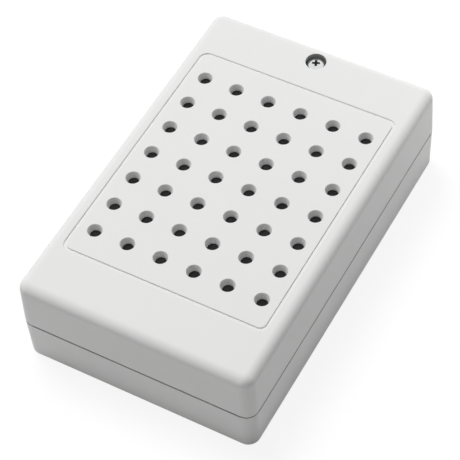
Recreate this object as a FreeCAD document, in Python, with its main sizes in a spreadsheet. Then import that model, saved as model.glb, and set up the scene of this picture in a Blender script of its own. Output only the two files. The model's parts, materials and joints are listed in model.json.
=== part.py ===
import FreeCAD, Part
import math
import os
import re

import Sketcher

# An intercom extension sounder: a wall box with a perforated cover, and inside it a small
# loudspeaker, an amplifier board and a screw terminal block.
# The origin is the centre of the back face, +Z points out of the grille, +Y is up on the wall.

DRIVING_SIZES = [
    # The case
    ("caseWidth", 70.0),
    ("caseLength", 110.5),
    ("caseHeight", 29.5),
    ("partingHeight", 13.8),
    ("cornerRadius", 3.7),
    ("innerCorner", 1.5),
    ("topRound", 2.9),
    ("footRound", 0.5),
    ("draftAngle", 1.4),
    ("wallThick", 2.4),
    ("frontThick", 2.0),
    ("floorThick", 2.0),
    ("innerRound", 1.0),
    ("ribThick", 1.4),
    ("ribHeight", 9.0),
    ("ribBite", 0.4),
    # The seam between base and cover
    ("seamGap", 0.4),
    ("rimThick", 1.2),
    ("lapHeight", 1.6),
    ("lapClear", 0.15),
    ("lapRelief", 0.3),
    # The grille and the line round it
    ("holePitch", 10.0),
    ("holeSize", 4.2),
    ("holeTaper", 17.0),
    ("holeMargin", 4.5),
    ("lineWidth", 0.8),
    ("lineDepth", 0.4),
    ("lineInset", 5.0),
    ("lineEndInset", 16.75),
    ("lineCorner", 2.2),
    # The cloth behind the grille
    ("clothThick", 0.4),
    ("clothMargin", 2.0),
    ("clothCorner", 3.0),
    # The cover screw, its recess and its boss
    ("endClear", 0.25),
    ("recessSize", 5.9),
    ("headSink", 0.6),
    ("headSize", 5.2),
    ("headHeight", 2.0),
    ("seatThick", 2.6),
    ("bossSize", 9.4),
    ("shankSize", 2.9),
    ("screwClear", 0.1),
    ("screwGrip", 5.6),
    ("crossSpan", 3.2),
    ("crossWidth", 0.75),
    ("crossDepth", 1.2),
    ("washerSize", 6.0),
    ("washerThick", 0.8),
    ("washerGap", 0.3),
    ("washerClear", 0.05),
    ("columnSize", 6.8),
    ("boreSpare", 1.0),
    # The hooks at the lower end of the cover
    ("hookSpread", 44.0),
    ("hookWidth", 8.0),
    ("hookThick", 1.5),
    ("hookStandOff", 0.75),
    ("hookDrop", 6.5),
    ("hookNose", 1.6),
    ("hookBite", 0.5),
    ("hookRoot", 5.5),
    ("catchDrop", 4.5),
    ("catchHeight", 4.0),
    ("catchDepth", 0.8),
    ("catchClear", 0.5),
    # Fixing to the wall and the way in for the cable
    ("fixingSpacing", 60.3),
    ("fixingSize", 4.5),
    ("fixingPad", 10.0),
    ("fixingRise", 1.0),
    ("entryWidth", 12.0),
    ("entryLength", 11.0),
    ("entryCorner", 1.5),
    ("entrySideGap", 4.6),
    ("entryEndGap", 5.35),
    # The loudspeaker
    ("speakerSize", 50.0),
    ("speakerDepth", 18.0),
    ("sheetThick", 0.8),
    ("gasketThick", 2.3),
    ("gasketWide", 2.1),
    ("gasketInset", 0.9),
    ("gasketGap", 0.3),
    ("surroundThick", 0.3),
    ("rollRise", 1.1),
    ("rollWide", 3.4),
    ("rollClear", 0.4),
    ("surroundLip", 0.8),
    ("coneThick", 0.4),
    ("coneEdgeGap", 0.2),
    ("coneDrop", 0.1),
    ("neckRise", 1.4),
    ("capRise", 1.6),
    ("capThick", 0.3),
    ("capEdge", 6.6),
    ("capSeat", 1.4),
    ("rimFlange", 2.44),
    ("ledgeInset", 9.1),
    ("ledgeWide", 1.5),
    ("footInset", 1.3),
    ("basketBore", 1.2),
    ("spiderThick", 0.3),
    ("spiderWave", 0.35),
    ("spiderRise", 2.2),
    ("spiderBond", 0.3),
    ("spiderFlange", 1.2),
    ("spiderClear", 0.2),
    ("spiderTrim", 0.1),
    ("yokeThick", 1.8),
    ("yokeChamfer", 0.6),
    ("magnetThick", 4.5),
    ("magnetSize", 28.0),
    ("magnetBoreStep", 1.6),
    ("plateThick", 1.5),
    ("plateSize", 26.0),
    ("poleSize", 9.4),
    ("coilBore", 10.1),
    ("formerThick", 0.15),
    ("windingThick", 0.3),
    ("windingHeight", 3.5),
    ("coilClear", 0.35),
    ("coilGlue", 0.05),
    ("windowWide", 12.0),
    ("windowMargin", 1.2),
    # The posts that hold the loudspeaker
    ("postStandOff", 2.2),
    ("postSize", 6.2),
    ("seatClear", 0.15),
    ("clampGap", 0.1),
    ("tapSize", 2.6),
    ("tapDepth", 8.0),
    ("tapSpare", 0.5),
    ("threadClear", 0.01),
    ("tapHead", 5.4),
    ("tapHeadHeight", 1.6),
    # The tag strip on the loudspeaker
    ("tagAngle", -112.0),
    ("tagInset", 2.3),
    ("tagTop", 1.2),
    ("tagBoardWide", 9.0),
    ("tagBoardThick", 0.8),
    ("tagBoardDrop", 6.0),
    ("tagSpacing", 5.0),
    ("tagWide", 1.8),
    ("tagThick", 0.4),
    ("tagLength", 4.4),
    # The circuit board
    ("boardThick", 1.6),
    ("boardSideGap", 1.6),
    ("boardEndGap", 2.35),
    ("boardCorner", 1.0),
    ("boardRise", 3.0),
    ("standoffSize", 5.0),
    ("standoffInset", 2.5),
    ("boardScrewHead", 4.4),
    ("boardScrewHeight", 1.5),
    ("boardScrewShank", 2.2),
    ("boardScrewLength", 5.5),
    ("boardHoleClear", 0.3),
    ("pilotSpare", 0.3),
    # The terminal block
    ("terminalPitch", 5.0),
    ("terminalCount", 3),
    ("blockDepth", 8.0),
    ("blockHeight", 9.8),
    ("blockWall", 0.4),
    ("blockFront", 0.8),
    ("cellDepth", 5.9),
    ("cellWidth", 4.2),
    ("cellHeight", 7.3),
    ("mouthWidth", 3.2),
    ("mouthHeight", 3.2),
    ("ledgeThick", 0.8),
    ("clampWidth", 3.8),
    ("clampDepth", 3.6),
    ("clampHeight", 4.8),
    ("clampTopThick", 0.8),
    ("clampSideThick", 0.45),
    ("clampTravel", 1.8),
    ("clampClear", 0.2),
    ("leastGap", 0.4),
    ("wellClear", 0.15),
    ("screwRest", 0.05),
    ("clampScrewSize", 2.6),
    ("clampScrewHead", 3.6),
    ("clampHeadHeight", 1.1),
    ("driverSlot", 0.7),
    ("driverDepth", 0.7),
    ("contactThick", 0.6),
    ("contactWide", 2.4),
    ("pinDrop", 1.2),
    ("pinClear", 0.2),
    ("pinSetback", 0.3),
    # Parts on the board, each placed by its gap to a neighbour or an edge
    ("filterInset", 5.8),
    ("canGap", 1.35),
    ("canEdgeGap", 4.6),
    ("chipGap", 0.4),
    ("chipEdgeGap", 1.0),
    ("discGap", 0.45),
    ("discEdgeGap", 1.8),
    ("trimmerGap", 0.55),
    ("trimmerRowGap", 0.55),
    ("blockGap", 1.1),
    ("screwHeadGap", 0.6),
    ("resistorGap", 2.7),
    ("rowGap", 0.85),
    ("rowEdgeGap", 0.25),
    ("headerGap", 0.4),
    ("headerEdgeGap", 0.7),
    ("thirdGap", 0.2),
    ("smallChamfer", 0.3),
    ("trimmerWidth", 6.6),
    ("trimmerLength", 7.0),
    ("trimmerHeight", 3.4),
    ("trimmerCorner", 0.6),
    ("rotorSize", 5.2),
    ("rotorHeight", 2.2),
    ("rotorSink", 1.6),
    ("rotorClear", 0.1),
    ("filterSize", 6.3),
    ("filterHeight", 11.0),
    ("couplingSize", 5.0),
    ("couplingHeight", 10.5),
    ("bungHeight", 1.2),
    ("canGroove", 0.35),
    ("grooveRise", 0.4),
    ("canShoulder", 0.4),
    ("chipLength", 9.8),
    ("chipWidth", 6.3),
    ("chipHeight", 3.4),
    ("chipLift", 0.5),
    ("notchSize", 1.6),
    ("notchDepth", 0.4),
    ("legPitch", 2.54),
    ("legSpan", 7.6),
    ("legWide", 0.9),
    ("legThick", 0.3),
    ("legBite", 0.4),
    ("resistorSize", 2.3),
    ("resistorLength", 6.3),
    ("resistorSpan", 8.2),
    ("resistorLead", 0.6),
    ("resistorCuff", 1.6),
    ("resistorLift", 0.3),
    ("waistShare", 0.86),
    ("leadTrim", 0.8),
    ("resistorStep", 2.5),
    ("drillSize", 1.1),
    ("discSize", 4.6),
    ("discThick", 1.8),
    ("discLift", 1.0),
    ("discStep", 5.2),
    ("headerWidth", 6.0),
    ("headerLength", 4.4),
    ("headerHeight", 3.6),
    ("headerWall", 0.6),
    ("headerFloor", 1.2),
    ("plugHeight", 5.0),
    ("plugClear", 0.1),
    ("leadSize", 1.2),
    ("leadPitch", 2.5),
    ("solderDrop", 1.4),
    ("leadStraight", 3.0),
    ("leadBow", 0.9),
    ("redLeadSag", 1.2),
    ("blackLeadSag", 2.0),
]

SHEET = "Sizes"
ALIAS_PATTERN = re.compile(r"\b(" + "|".join(alias for alias, value in DRIVING_SIZES) + r")\b")


def in_sheet(formula):
    """Point every size named in a formula at its cell."""
    return ALIAS_PATTERN.sub(SHEET + r".\1", str(formula))


def bind(target, prop, formula):
    target.setExpression(prop, in_sheet(formula))


def size(formula):
    """The present value of a formula, for first guesses and for shapes made by hand."""
    return float(sheet.evalExpression(in_sheet(formula)))


# The document and its sheet of sizes

doc = FreeCAD.newDocument("ExtensionSounder")
sheet = doc.addObject("Spreadsheet::Sheet", SHEET)
for row, (alias, value) in enumerate(DRIVING_SIZES, start=1):
    sheet.set(f"A{row}", alias)
    sheet.set(f"B{row}", str(value))
    sheet.setAlias(f"B{row}", alias)
doc.recompute()

# Levels and places that several pieces share

SEAM_LOW = "(partingHeight - seamGap / 2)"
SEAM_HIGH = "(partingHeight + seamGap / 2)"
TONGUE_TOP = f"({SEAM_HIGH} + lapHeight)"
FRONT_INSIDE = "(caseHeight - frontThick)"
CLOTH_BACK = f"({FRONT_INSIDE} - clothThick)"

SCREW_PLACE = "(caseLength / 2 - wallThick - endClear - columnSize / 2)"
HEAD_SEAT = "(caseHeight - headSink - headHeight)"
BOSS_END = f"({HEAD_SEAT} - seatThick)"
COLUMN_TOP = "(partingHeight + screwGrip / 2)"
SCREW_TIP = "(partingHeight - screwGrip / 2)"
SCREW_HOLE = "(shankSize + 2 * screwClear)"

LINE_ACROSS = "(caseWidth - 2 * lineInset)"
LINE_ALONG = "(caseLength - 2 * lineEndInset)"
HOLE_COLUMNS = f"(floor(({LINE_ACROSS} - 2 * holeMargin) / holePitch) + 1)"
HOLE_ROWS = f"(floor(({LINE_ALONG} - 2 * holeMargin) / holePitch) + 1)"

INNER_FACE = "(-caseLength / 2 + wallThick)"
HOOK_FRONT = f"({INNER_FACE} + hookStandOff)"
HOOK_BACK = f"({HOOK_FRONT} + hookThick)"

RIM_TOP = f"({CLOTH_BACK} - gasketGap - gasketThick - surroundThick)"
RIM_UNDER = f"({RIM_TOP} - sheetThick)"
SPEAKER_BACK = f"({RIM_TOP} - speakerDepth)"
YOKE_TOP = f"({SPEAKER_BACK} + yokeThick)"
MAGNET_TOP = f"({YOKE_TOP} + magnetThick)"
PLATE_TOP = f"({MAGNET_TOP} + plateThick)"
BASKET_FLOOR = f"({PLATE_TOP} + sheetThick)"
SPIDER_SEAT = f"({BASKET_FLOOR} + spiderRise)"
CONE_NECK = f"({SPIDER_SEAT} + neckRise)"
RIM_RADIUS = "(speakerSize / 2)"
COIL_INNER = "(coilBore / 2)"
FORMER_OUTER = f"({COIL_INNER} + formerThick)"
WINDING_OUTER = f"({COIL_INNER} + formerThick + windingThick)"
GAP_RADIUS = f"({WINDING_OUTER} + coilClear)"
FLANGE_INNER = f"({RIM_RADIUS} - gasketInset - gasketWide - rollClear)"
CONE_EDGE = f"({FLANGE_INNER} - rollWide - coneEdgeGap)"
LEDGE_IN = f"({RIM_RADIUS} - ledgeInset)"
LEDGE_OUT = f"({LEDGE_IN} + ledgeWide)"
TAG_RADIUS = f"({RIM_RADIUS} - tagInset)"

POST_TOP = f"({RIM_TOP} - clampGap)"
POST_OFFSET = f"({RIM_RADIUS} + postStandOff)"

BOARD_UNDER = "(floorThick + boardRise)"
BOARD_TOP = f"({BOARD_UNDER} + boardThick)"
BOARD_LEFT = "(boardSideGap + wallThick - caseWidth / 2)"
BOARD_LOW = "(boardEndGap + wallThick - caseLength / 2)"

# Where the parts stand on the board, from left to right and from its lower edge up

FILTER_X = f"({BOARD_LEFT} + filterInset)"
COUPLING_X = f"({FILTER_X} + filterSize / 2 + canGap + couplingSize / 2)"
CHIP_X = f"({COUPLING_X} + couplingSize / 2 + chipGap + chipLength / 2)"
DISC_X = f"({CHIP_X} + chipLength / 2 + discGap + discThick / 2)"
TRIMMER_X = f"({DISC_X} + discThick / 2 + trimmerGap + trimmerWidth / 2)"
BLOCK_LEFT = f"({TRIMMER_X} + trimmerWidth / 2 + blockGap)"
BOARD_RIGHT = f"({BLOCK_LEFT} + blockDepth)"
RESISTOR_X = f"({BOARD_LEFT} + standoffInset + boardScrewHead / 2 + resistorGap + resistorSpan / 2)"
HEADER_X = f"({RESISTOR_X} + resistorSpan / 2 + headerGap + headerWidth / 2)"
THIRD_X = f"({HEADER_X} + headerWidth / 2 + thirdGap + resistorSpan / 2)"
SECOND_SCREW = f"({BLOCK_LEFT} - screwHeadGap - boardScrewHead / 2)"

CAN_Y = f"({BOARD_LOW} + canEdgeGap + couplingSize / 2)"
LOWER_ROW = f"({CAN_Y} + couplingSize / 2 + rowGap + resistorSize / 2)"
UPPER_ROW = f"({LOWER_ROW} + resistorStep)"
BOARD_HIGH = f"({UPPER_ROW} + resistorSize / 2 + rowEdgeGap)"
BOARD_MIDDLE = f"(({BOARD_LOW} + {BOARD_HIGH}) / 2)"
CHIP_Y = f"({BOARD_LOW} + chipEdgeGap + legSpan / 2 + legThick)"
HEADER_Y = f"({BOARD_HIGH} - headerEdgeGap - headerLength / 2)"
TRIMMER_Y = f"({UPPER_ROW} - resistorSize / 2 - trimmerRowGap - trimmerLength / 2)"
LOWER_DISC = f"({BOARD_LOW} + discEdgeGap + discSize / 2)"
RESISTOR_PLACES = [(RESISTOR_X, UPPER_ROW), (RESISTOR_X, LOWER_ROW), (THIRD_X, UPPER_ROW)]

BLOCK_TOP = f"({BOARD_TOP} + blockHeight)"
CELL_TOP = f"({BOARD_TOP} + cellHeight)"
CLAMP_REST = f"({BOARD_TOP} + blockWall)"
CONTACT_TOP = f"({CLAMP_REST} + clampTopThick + clampTravel + leastGap + contactThick)"
PLUG_TOP = f"({BOARD_TOP} + headerFloor + plugHeight)"



# Sketches and features

def origin_plane(body, role):
    return next(f for f in body.Origin.OriginFeatures if f.Role == role)


def new_body(name):
    body = doc.addObject("PartDesign::Body", name)
    body.Label = name
    body.AllowCompound = True
    return body


def sketch_on(body, role, height="0"):
    """An empty sketch parallel to one of the body's own planes, at a height along its normal."""
    sketch = body.newObject("Sketcher::SketchObject", body.Name + "_sketch")
    sketch.AttachmentSupport = [(origin_plane(body, role), "")]
    sketch.MapMode = "FlatFace"
    bind(sketch, "AttachmentOffset.Base.z", height)
    return sketch


def fix(sketch, kind, element, point, formula):
    """Hold one coordinate of a point at a formula, measured from the sketch's origin."""
    index = sketch.addConstraint(Sketcher.Constraint(kind, -1, 1, element, point, size(formula)))
    bind(sketch, f"Constraints[{index}]", formula)


def outline(sketch, corners):
    """A closed outline of straight sides through corners given as pairs of formulas."""
    places = [FreeCAD.Vector(size(x), size(y), 0) for x, y in corners]
    sides = []
    for place, following in zip(places, places[1:] + places[:1]):
        sides.append(sketch.addGeometry(Part.LineSegment(place, following), False))
    for side, following in zip(sides, sides[1:] + sides[:1]):
        sketch.addConstraint(Sketcher.Constraint("Coincident", side, 2, following, 1))
    for side, (x, y) in zip(sides, corners):
        fix(sketch, "DistanceX", side, 1, x)
        fix(sketch, "DistanceY", side, 1, y)


def rectangle(sketch, left, right, low, high):
    outline(sketch, [(left, low), (right, low), (right, high), (left, high)])


def circle(sketch, x, y, diameter):
    centre = FreeCAD.Vector(size(x), size(y), 0)
    ring = sketch.addGeometry(Part.Circle(centre, FreeCAD.Vector(0, 0, 1), size(diameter) / 2), False)
    fix(sketch, "DistanceX", ring, 3, x)
    fix(sketch, "DistanceY", ring, 3, y)
    index = sketch.addConstraint(Sketcher.Constraint("Diameter", ring, size(diameter)))
    bind(sketch, f"Constraints[{index}]", diameter)


def rounded(sketch, width, length, corner, x="0", y="0"):
    """A rectangle with round corners about a centre, from lines that run tangent into arcs."""
    radius = size(corner)
    arcs = []
    for turn, (side, end) in enumerate([(1, -1), (1, 1), (-1, 1), (-1, -1)]):
        across = f"({x}) + {side} * (({width}) / 2 - ({corner}))"
        along = f"({y}) + {end} * (({length}) / 2 - ({corner}))"
        start = math.radians(90 * turn - 90)
        centre = FreeCAD.Vector(size(across), size(along), 0)
        whole = Part.Circle(centre, FreeCAD.Vector(0, 0, 1), radius)
        arc = sketch.addGeometry(Part.ArcOfCircle(whole, start, start + math.pi / 2), False)
        fix(sketch, "DistanceX", arc, 3, across)
        fix(sketch, "DistanceY", arc, 3, along)
        index = sketch.addConstraint(Sketcher.Constraint("Radius", arc, radius))
        bind(sketch, f"Constraints[{index}]", corner)
        arcs.append(arc)
    for arc, following in zip(arcs, arcs[1:] + arcs[:1]):
        end_of_arc = sketch.getPoint(arc, 2)
        start_of_next = sketch.getPoint(following, 1)
        line = sketch.addGeometry(Part.LineSegment(end_of_arc, start_of_next), False)
        sketch.addConstraint(Sketcher.Constraint("Tangent", arc, 2, line, 1))
        sketch.addConstraint(Sketcher.Constraint("Tangent", line, 2, following, 1))


def pad(body, sketch, length, taper=None, down=False, both_ways=False):
    feature = body.newObject("PartDesign::Pad", body.Name + "_pad")
    feature.Profile = sketch
    bind(feature, "Length", length)
    feature.Reversed = down
    feature.SideType = "Symmetric" if both_ways else "One side"
    if taper:
        bind(feature, "TaperAngle", taper)
    doc.recompute()
    return feature


LEAST_CUT = 1e-6


def pocket(body, sketch, depth, taper=None, up=False, both_ways=False):
    """Cut down from the sketch, or up; a cut that removes nothing is an error."""
    before = body.Shape.Volume
    feature = body.newObject("PartDesign::Pocket", body.Name + "_pocket")
    feature.Profile = sketch
    bind(feature, "Length", depth)
    feature.Reversed = up
    feature.SideType = "Symmetric" if both_ways else "One side"
    if taper:
        bind(feature, "TaperAngle", taper)
    doc.recompute()
    if body.Shape.Volume > before - LEAST_CUT:
        raise RuntimeError(feature.Label + " cuts nothing")
    return feature


def turned(body, corners):
    """A round piece: an outline of (radius, height) pairs turned about the upright axis."""
    sketch = sketch_on(body, "XZ_Plane")
    outline(sketch, corners)
    feature = body.newObject("PartDesign::Revolution", body.Name + "_turned")
    feature.Profile = sketch
    feature.ReferenceAxis = (sketch, ["V_Axis"])
    feature.Angle = 360.0
    doc.recompute()
    return feature


def edges_at(body, level, tolerance=1e-4):
    """The body's tip and the names of those of its edges that lie wholly at one height."""
    height = size(level)
    names = []
    for index, edge in enumerate(body.Tip.Shape.Edges, start=1):
        box = edge.BoundBox
        if abs(box.ZMin - height) < tolerance > abs(box.ZMax - height):
            names.append(f"Edge{index}")
    return body.Tip, names


def round_edges(body, level, radius):
    edges = edges_at(body, level)
    feature = body.newObject("PartDesign::Fillet", body.Name + "_round")
    feature.Base = edges
    bind(feature, "Radius", radius)
    doc.recompute()
    return feature


def chamfer_edges(body, level, width):
    edges = edges_at(body, level)
    feature = body.newObject("PartDesign::Chamfer", body.Name + "_chamfer")
    feature.Base = edges
    bind(feature, "Size", width)
    doc.recompute()
    return feature


def place(body, x="0", y="0", z="0", angle=None):
    bind(body, "Placement.Base.x", x)
    bind(body, "Placement.Base.y", y)
    bind(body, "Placement.Base.z", z)
    if angle:
        bind(body, "Placement.Rotation.Angle", angle)


pieces = []


def finished(body):
    pieces.append(body)
    return body


# Base shell: a drafted tray with a tongue round its rim

def base_shell():
    base = new_body("base_shell")
    rim = sketch_on(base, "XY_Plane", SEAM_LOW)
    rounded(rim, "caseWidth", "caseLength", "cornerRadius")
    pad(base, rim, SEAM_LOW, taper="-draftAngle", down=True)
    round_edges(base, "0", "footRound")

    inside = sketch_on(base, "XY_Plane", SEAM_LOW)
    rounded(inside, "caseWidth - 2 * wallThick", "caseLength - 2 * wallThick", "innerCorner")
    pocket(base, inside, f"{SEAM_LOW} - floorThick", taper="-draftAngle")

    tongue = sketch_on(base, "XY_Plane", SEAM_LOW)
    tongue_inset = "2 * (rimThick + lapClear)"
    rounded(tongue, f"caseWidth - {tongue_inset}", f"caseLength - {tongue_inset}",
            "cornerRadius - rimThick - lapClear")
    rounded(tongue, "caseWidth - 2 * wallThick", "caseLength - 2 * wallThick", "innerCorner")
    pad(base, tongue, f"{TONGUE_TOP} - {SEAM_LOW}")

    wall_fixings(base)
    board_standoffs(base)
    speaker_posts(base)
    screw_column(base)
    hook_catches(base)

    entry = sketch_on(base, "XY_Plane", "floorThick")
    rounded(entry, "entryWidth", "entryLength", "entryCorner",
            "caseWidth / 2 - wallThick - entrySideGap - entryWidth / 2",
            "entryEndGap + wallThick + entryLength / 2 - caseLength / 2")
    pocket(base, entry, "floorThick")
    return finished(base)


def wall_fixings(base):
    """Two pads with holes for the screws that hold the base to a wall box."""
    pads = sketch_on(base, "XY_Plane", "floorThick")
    holes = sketch_on(base, "XY_Plane", "floorThick + fixingRise")
    for end in ("fixingSpacing / 2", "-fixingSpacing / 2"):
        circle(pads, "0", end, "fixingPad")
        circle(holes, "0", end, "fixingSize")
    pad(base, pads, "fixingRise")
    pocket(base, holes, "floorThick + fixingRise")


BOARD_SCREWS = [
    (f"({BOARD_LEFT} + standoffInset)", f"({BOARD_HIGH} - standoffInset)"),
    (SECOND_SCREW, f"({BOARD_LOW} + standoffInset)"),
]
BOARD_RESTS = [
    (f"({BOARD_LEFT} + standoffInset)", f"({BOARD_LOW} + standoffInset)"),
    (SECOND_SCREW, f"({BOARD_HIGH} - standoffInset)"),
]


def board_standoffs(base):
    """Four standoffs under the circuit board, two of them with pilot holes."""
    standoffs = sketch_on(base, "XY_Plane", "floorThick")
    for x, y in BOARD_SCREWS + BOARD_RESTS:
        circle(standoffs, x, y, "standoffSize")
    pad(base, standoffs, "boardRise")
    pilots = sketch_on(base, "XY_Plane", BOARD_UNDER)
    for x, y in BOARD_SCREWS:
        circle(pilots, x, y, "boardScrewShank")
    pocket(base, pilots, "boardScrewLength - boardThick + pilotSpare")


POST_SIDES = [(1, 1), (-1, 1), (-1, -1), (1, -1)]
DIAGONAL = math.sqrt(0.5)


def post_place(across, along):
    return f"{across * DIAGONAL:.6f} * {POST_OFFSET}", f"{along * DIAGONAL:.6f} * {POST_OFFSET}"


def speaker_posts(base):
    """Four posts with a stepped seat for the loudspeaker's rim, ribbed to the side walls."""
    posts = sketch_on(base, "XY_Plane", "floorThick")
    ribs = sketch_on(base, "XY_Plane", "floorThick")
    pilots = sketch_on(base, "XY_Plane", POST_TOP)
    wall = "(caseWidth / 2 - wallThick + ribBite)"
    for across, along in POST_SIDES:
        x, y = post_place(across, along)
        circle(posts, x, y, "postSize")
        circle(pilots, x, y, "tapSize")
        near, far = (x, f"{across} * {wall}") if across > 0 else (f"{across} * {wall}", x)
        rectangle(ribs, near, far, f"{y} - ribThick / 2", f"{y} + ribThick / 2")
    pad(base, posts, f"{POST_TOP} - floorThick")
    pad(base, ribs, "ribHeight")
    pocket(base, pilots, "tapDepth")
    seat = sketch_on(base, "XY_Plane", POST_TOP)
    circle(seat, "0", "0", "speakerSize + 2 * seatClear")
    pocket(base, seat, f"{POST_TOP} - {RIM_UNDER}")


def screw_column(base):
    """The hollow column that takes the cover screw, ribbed to the end wall."""
    column = sketch_on(base, "XY_Plane", "floorThick")
    circle(column, "0", SCREW_PLACE, "columnSize")
    pad(base, column, f"{COLUMN_TOP} - floorThick")
    rib = sketch_on(base, "XY_Plane", "floorThick")
    rectangle(rib, "-ribThick / 2", "ribThick / 2", f"{SCREW_PLACE} + shankSize",
              "caseLength / 2 - wallThick + ribBite")
    pad(base, rib, "ribHeight")
    bore = sketch_on(base, "XY_Plane", COLUMN_TOP)
    circle(bore, "0", SCREW_PLACE, SCREW_HOLE)
    pocket(base, bore, "screwGrip + boreSpare")


def hook_catches(base):
    """Two pockets in the lower end wall, where the noses of the cover's hooks catch."""
    catches = sketch_on(base, "XY_Plane", "partingHeight - catchDrop")
    for side in (-1, 1):
        middle = f"{side} * hookSpread / 2"
        rectangle(catches, f"{middle} - hookWidth / 2 - catchClear", f"{middle} + hookWidth / 2 + catchClear",
                  f"{INNER_FACE} - catchDepth", f"{INNER_FACE} + catchClear")
    pocket(base, catches, "catchHeight")


# Front cover: a drafted lid with the grille, its frame line, the screw recess and two hooks

def front_cover():
    cover = new_body("front_cover")
    rim = sketch_on(cover, "XY_Plane", SEAM_HIGH)
    rounded(rim, "caseWidth", "caseLength", "cornerRadius")
    pad(cover, rim, f"caseHeight - {SEAM_HIGH}", taper="-draftAngle")
    round_edges(cover, "caseHeight", "topRound")

    inside = sketch_on(cover, "XY_Plane", SEAM_HIGH)
    rounded(inside, "caseWidth - 2 * wallThick", "caseLength - 2 * wallThick", "innerCorner")
    pocket(cover, inside, f"{FRONT_INSIDE} - {SEAM_HIGH}", taper="-draftAngle", up=True)
    round_edges(cover, FRONT_INSIDE, "innerRound")

    rebate = sketch_on(cover, "XY_Plane", SEAM_HIGH)
    rounded(rebate, "caseWidth - 2 * rimThick", "caseLength - 2 * rimThick", "cornerRadius - rimThick")
    pocket(cover, rebate, "lapHeight + lapRelief", up=True)

    frame_line(cover)
    screw_recess(cover)
    cover_hooks(cover)
    grille(cover)
    return finished(cover)


def frame_line(cover):
    """The fine groove that frames the grille."""
    groove = sketch_on(cover, "XY_Plane", "caseHeight")
    for sign in ("+", "-"):
        rounded(groove, f"{LINE_ACROSS} {sign} lineWidth", f"{LINE_ALONG} {sign} lineWidth",
                f"lineCorner {sign} lineWidth / 2")
    pocket(cover, groove, "lineDepth")


def screw_recess(cover):
    """The boss behind the front, its round recess and the hole for the shank."""
    boss = sketch_on(cover, "XY_Plane", BOSS_END)
    circle(boss, "0", SCREW_PLACE, "bossSize")
    pad(cover, boss, f"{FRONT_INSIDE} - {BOSS_END} + frontThick / 2")
    recess = sketch_on(cover, "XY_Plane", "caseHeight")
    circle(recess, "0", SCREW_PLACE, "recessSize")
    pocket(cover, recess, "headSink + headHeight")
    hole = sketch_on(cover, "XY_Plane", HEAD_SEAT)
    circle(hole, "0", SCREW_PLACE, SCREW_HOLE)
    pocket(cover, hole, "seatThick")


def cover_hooks(cover):
    """Two hooks that reach down behind the base's end wall; the cover tips about its lower edge."""
    tip = "(partingHeight - hookDrop)"
    nose_top = f"({tip} + hookNose)"
    nose_front = f"({INNER_FACE} - hookBite)"
    root_low = f"({TONGUE_TOP} + lapRelief)"
    root_high = f"({root_low} + hookRoot)"
    wall = f"({INNER_FACE} - ribBite)"
    for side in (-1, 1):
        profile = sketch_on(cover, "YZ_Plane", f"{side} * hookSpread / 2")
        outline(profile, [
            (wall, root_low), (HOOK_FRONT, root_low), (HOOK_FRONT, nose_top), (nose_front, nose_top),
            (nose_front, f"{nose_top} - hookNose / 2"), (HOOK_FRONT, tip), (HOOK_BACK, tip),
            (HOOK_BACK, root_high), (wall, root_high),
        ])
        pad(cover, profile, "hookWidth", both_ways=True)


def grille(cover):
    """The square field of round holes that narrow inwards, patterned from its lower left hole."""
    first = sketch_on(cover, "XY_Plane", "caseHeight")
    circle(first, f"-({HOLE_COLUMNS} - 1) / 2 * holePitch", f"-({HOLE_ROWS} - 1) / 2 * holePitch", "holeSize")
    hole = pocket(cover, first, "frontThick", taper="-holeTaper")
    field = cover.newObject("PartDesign::MultiTransform", "grille_field")
    field.Originals = [hole]
    across = cover.newObject("PartDesign::LinearPattern", "grille_across")
    across.Direction = (first, ["H_Axis"])
    bind(across, "Length", f"({HOLE_COLUMNS} - 1) * holePitch")
    bind(across, "Occurrences", HOLE_COLUMNS)
    along = cover.newObject("PartDesign::LinearPattern", "grille_along")
    along.Direction = (first, ["V_Axis"])
    bind(along, "Length", f"({HOLE_ROWS} - 1) * holePitch")
    bind(along, "Occurrences", HOLE_ROWS)
    field.Transformations = [across, along]
    cover.Tip = field
    doc.recompute()


def grille_cloth():
    cloth = new_body("grille_cloth")
    sheet_outline = sketch_on(cloth, "XY_Plane", CLOTH_BACK)
    rounded(sheet_outline, f"({HOLE_COLUMNS} - 1) * holePitch + holeSize + 2 * clothMargin",
            f"({HOLE_ROWS} - 1) * holePitch + holeSize + 2 * clothMargin", "clothCorner")
    pad(cloth, sheet_outline, "clothThick")
    return finished(cloth)


# Cover screw and its retaining washer

def cross_recess(body, top, span, width, depth):
    """A cross-shaped driver recess cut down from a level."""
    for along, wide in ((span, width), (width, span)):
        cut = sketch_on(body, "XY_Plane", top)
        rectangle(cut, f"-{along} / 2", f"{along} / 2", f"-{wide} / 2", f"{wide} / 2")
        pocket(body, cut, depth)


# The outline of the pan head from its crown down, in shares of its size and of its height
HEAD_SHARES = [(0, 1), (0.32, 1), (0.46, 0.68), (0.5, 0.3), (0.5, 0)]


def cover_screw():
    screw = new_body("cover_screw")
    tip = f"({SCREW_TIP} - {HEAD_SEAT})"
    head = [(f"headSize * {across}", f"headHeight * {up}") for across, up in HEAD_SHARES]
    turned(screw, head + [
        ("shankSize / 2", "0"), ("shankSize / 2", f"{tip} + shankSize / 3"),
        ("shankSize / 4", tip), ("0", tip),
    ])
    cross_recess(screw, "headHeight", "crossSpan", "crossWidth", "crossDepth")
    place(screw, y=SCREW_PLACE, z=HEAD_SEAT)
    return finished(screw)


def screw_washer():
    washer = new_body("screw_washer")
    flat = sketch_on(washer, "XY_Plane", f"{COLUMN_TOP} + washerGap")
    circle(flat, "0", "0", "washerSize")
    circle(flat, "0", "0", "shankSize + 2 * washerClear")
    pad(washer, flat, "washerThick")
    place(washer, y=SCREW_PLACE)
    return finished(washer)


# Loudspeaker: magnet system, pressed basket, moving cone

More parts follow.
